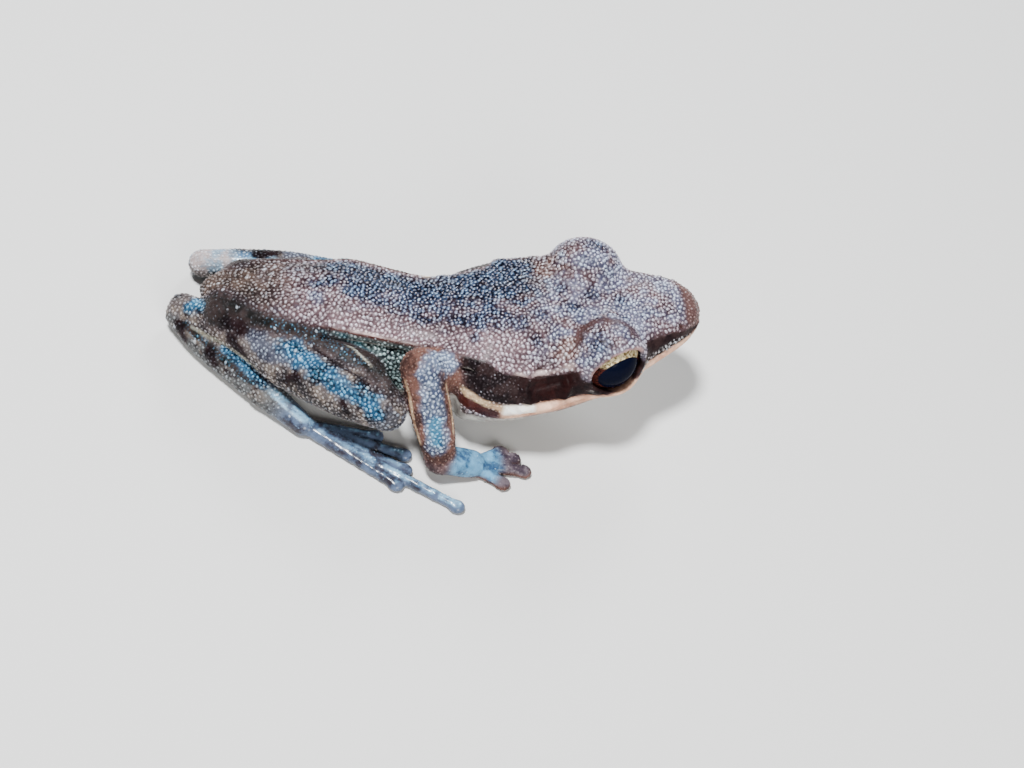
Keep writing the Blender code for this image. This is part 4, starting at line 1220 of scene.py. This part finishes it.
def grain_tree(mat):
    """Grains spread over the skin at an even spacing, each standing along the skin's normal."""
    tree, w, given, result = new_tree("skin grains", "GeometryNodeTree", GRAIN_SOCKETS,
                                      (("Geometry", "Geometry"),))
    pearls = given["Pearls"]
    scarce = w.product(w.named("pearl"), pearls)
    usual = w.product(w.step(w.named("grain"), 0.1, 0.5), w.math("SUBTRACT", 1.0, pearls))
    spread = w.node("GeometryNodeDistributePointsOnFaces", {
        "Mesh": given["Geometry"], "Distance Min": given["Spacing"], "Density Max": MOST_GRAINS,
        "Density Factor": w.math("ADD", scarce, usual), "Seed": given["Seed"]},
        distribute_method="POISSON").outputs
    ball = w.node("GeometryNodeMeshUVSphere", {"Segments": 6, "Rings": 4, "Radius": 1}).outputs[0]
    spot = w.node("GeometryNodeInputPosition").outputs[0]
    ball = w.store(ball, "spot", spot, "FLOAT_VECTOR", "POINT")
    squeeze = w.node("ShaderNodeCombineXYZ", (given["Grain Length"], 0.9, given["Grain Height"]))
    ball = w.node("GeometryNodeTransform", {"Geometry": ball, "Scale": squeeze.outputs[0]}).outputs[0]

    off = w.math("ABSOLUTE", w.math("SUBTRACT", w.math("ROUND", w.named("zone")), given["Zone"]))
    wanted = w.math("LESS_THAN", off, w.math("ADD", 0.5, w.product(pearls, 9.0)))
    luck = w.node("FunctionNodeRandomValue", {2: LUCK[0], 3: LUCK[1]}, data_type="FLOAT").outputs[1]
    power = w.math("SUBTRACT", 0.6, w.product(pearls, 0.35))
    size = w.product(luck, given["Grain Size"], w.math("POWER", w.named("grain"), power))
    spin = w.node("FunctionNodeRandomValue", {3: math.pi}, data_type="FLOAT").outputs[1]
    spun = w.node("FunctionNodeAxisAngleToRotation", {"Angle": spin}).outputs[0]
    turned = w.node("FunctionNodeRotateRotation", {"Rotation": spread["Rotation"], "Rotate By": spun},
                    rotation_space="LOCAL").outputs[0]
    placed = w.node("GeometryNodeInstanceOnPoints", {
        "Points": spread["Points"], "Selection": wanted, "Instance": ball,
        "Rotation": turned, "Scale": size}).outputs[0]
    placed = w.store(placed, "luck", luck, "FLOAT", "INSTANCE")
    real = w.node("GeometryNodeRealizeInstances", (placed,)).outputs[0]

    # Each grain is a small round patch at its root's place on the skin's own map
    x, y, z = w.node("ShaderNodeSeparateXYZ", (w.named("spot", "FLOAT_VECTOR"),)).outputs
    way = w.vector("NORMALIZE", (w.node("ShaderNodeCombineXYZ", (x, y)).outputs[0],))
    reach = w.product(w.math("ARCCOSINE", z), GRAIN_PATCH / math.pi)
    offset = w.vector("SCALE", {0: way, "Scale": reach})
    moved = w.vector("ADD", (w.named("unwrap", "FLOAT_VECTOR"), offset))
    mapped = w.store(real, "OFBake", moved, "FLOAT2", "CORNER")
    mapped = w.store(mapped, "tip", z, "FLOAT", "POINT")
    mapped = w.node("GeometryNodeSetShadeSmooth", {"Geometry": mapped}).outputs[0]
    painted = w.node("GeometryNodeSetMaterial", {"Geometry": mapped, "Material": mat})
    w.put(result["Geometry"], painted.outputs[0])
    return tree


def make_grains(name, skin, tree, values):
    """Grains of the skin as one plain mesh, with the tree's inputs set by name."""
    carrier = add_object(name, skin.data)
    modifier = carrier.modifiers.new("grains", "NODES")
    modifier.node_group = tree
    inputs = {item.name: item.identifier for item in tree.interface.items_tree
              if item.in_out == "INPUT"}
    for label, value in values.items():
        modifier[inputs[label]] = value
    depsgraph = bpy.context.evaluated_depsgraph_get()
    mesh = bpy.data.meshes.new_from_object(carrier.evaluated_get(depsgraph))
    carrier.modifiers.clear()
    carrier.data = mesh
    mesh.name = name
    for extra in ("spot", "unwrap", "zone", "wet", "pearl"):
        layer = mesh.attributes.get(extra)
        if layer:
            mesh.attributes.remove(layer)
    return carrier


# Camera at the photograph's viewing angle: place in millimetres, then its right, up and back
CAMERA_PLACE = (15.91, -82.72, 106.65)
CAMERA_AXES = ((0.969, 0.14, 0.202), (-0.234, 0.78, 0.58), (-0.076, -0.61, 0.789))
CAMERA_LENS = 57.09
CAMERA_SENSOR = 36

# Studio, in metres: half the floor's width and its colour, where the lights point, and each light's
# name, place, size, power and colour
FLOOR_HALF = 0.6
FLOOR_COLOUR = (0.72, 0.71, 0.69)
LIT_PLACE = (0, 0, 0.005)
LIGHTS = (
    ("key", (-0.06, -0.02, 0.26), 0.045, 1.65, (0.96, 0.98, 1.0)),
    ("fill", (0.12, -0.22, 0.13), 0.12, 0.6, (1.0, 1.0, 1.0)),
    ("back", (0.04, 0.22, 0.14), 0.08, 0.45, (0.92, 0.96, 1.0)),
)
SKY_COLOUR = (0.9, 0.94, 1.0, 1.0)
SKY_STRENGTH = 0.14


def add_studio():
    """Pale floor, soft lights and the camera."""
    mesh = bpy.data.meshes.new("floor")
    half = FLOOR_HALF
    mesh.from_pydata([(-half, -half, 0), (half, -half, 0), (half, half, 0), (-half, half, 0)], [],
                     [(0, 1, 2, 3)])
    mesh.materials.append(new_material("floor", {"Base Color": FLOOR_COLOUR, "Roughness": 0.8})[0])
    floor = add_object("floor", mesh)
    for name, place, size, power, colour in LIGHTS:
        light = bpy.data.lights.new(name, "AREA")
        light.shape, light.size, light.energy, light.color = "DISK", size, power, colour
        thing = add_object(name, light)
        thing.location = place
        aim = Vector(LIT_PLACE) - Vector(place)
        thing.rotation_euler = aim.to_track_quat("-Z", "Y").to_euler()
    world = bpy.data.worlds.new("studio")
    world.use_nodes = True
    world.node_tree.nodes["Background"].inputs["Color"].default_value = SKY_COLOUR
    world.node_tree.nodes["Background"].inputs["Strength"].default_value = SKY_STRENGTH
    bpy.context.scene.world = world
    lens = bpy.data.cameras.new("camera")
    lens.lens, lens.sensor_width = CAMERA_LENS, CAMERA_SENSOR
    lens.clip_start, lens.clip_end = 0.005, 10
    camera = add_object("camera", lens)
    turned = Matrix(CAMERA_AXES).transposed().to_quaternion().to_matrix().to_4x4()
    place = (np.array(CAMERA_PLACE) - CENTRE) * MILLIMETRE
    camera.matrix_world = Matrix.Translation(place) @ turned
    bpy.context.scene.camera = camera


def main():
    marks = skin_marks()
    skin_mat = marked_material("skin", marks, False)
    grain_mat = marked_material("grains", marks, True)
    pearl_mat = marked_material("pearls", marks, True, 0.75)
    skin = make_skin(skin_mat)
    unwrap(skin)
    fleshy = [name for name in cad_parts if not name.startswith("eye_")]
    tree = grain_tree(grain_mat)
    pieces = [make_grains(name, skin, tree, {"Zone": zone})
              for zone, name in enumerate(("grains_trunk", "grains_head", "grains_limbs"))]
    sparse = {"Pearls": 1.0, "Spacing": 0.00075, "Grain Size": 0.00018, "Seed": 8}
    pieces.append(make_grains("pearls", skin, grain_tree(pearl_mat), sparse))
    skin.data.uv_layers.remove(skin.data.uv_layers["unwrap"])
    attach(skin, "root")
    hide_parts(*fleshy)
    for piece in pieces:
        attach(piece, "root")
    eye_mat = eye_material()
    for side in SIDES:
        eye = make_eye(side, eye_mat)
        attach(eye, "root")
        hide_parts("eye_" + side)
    add_studio()


main()
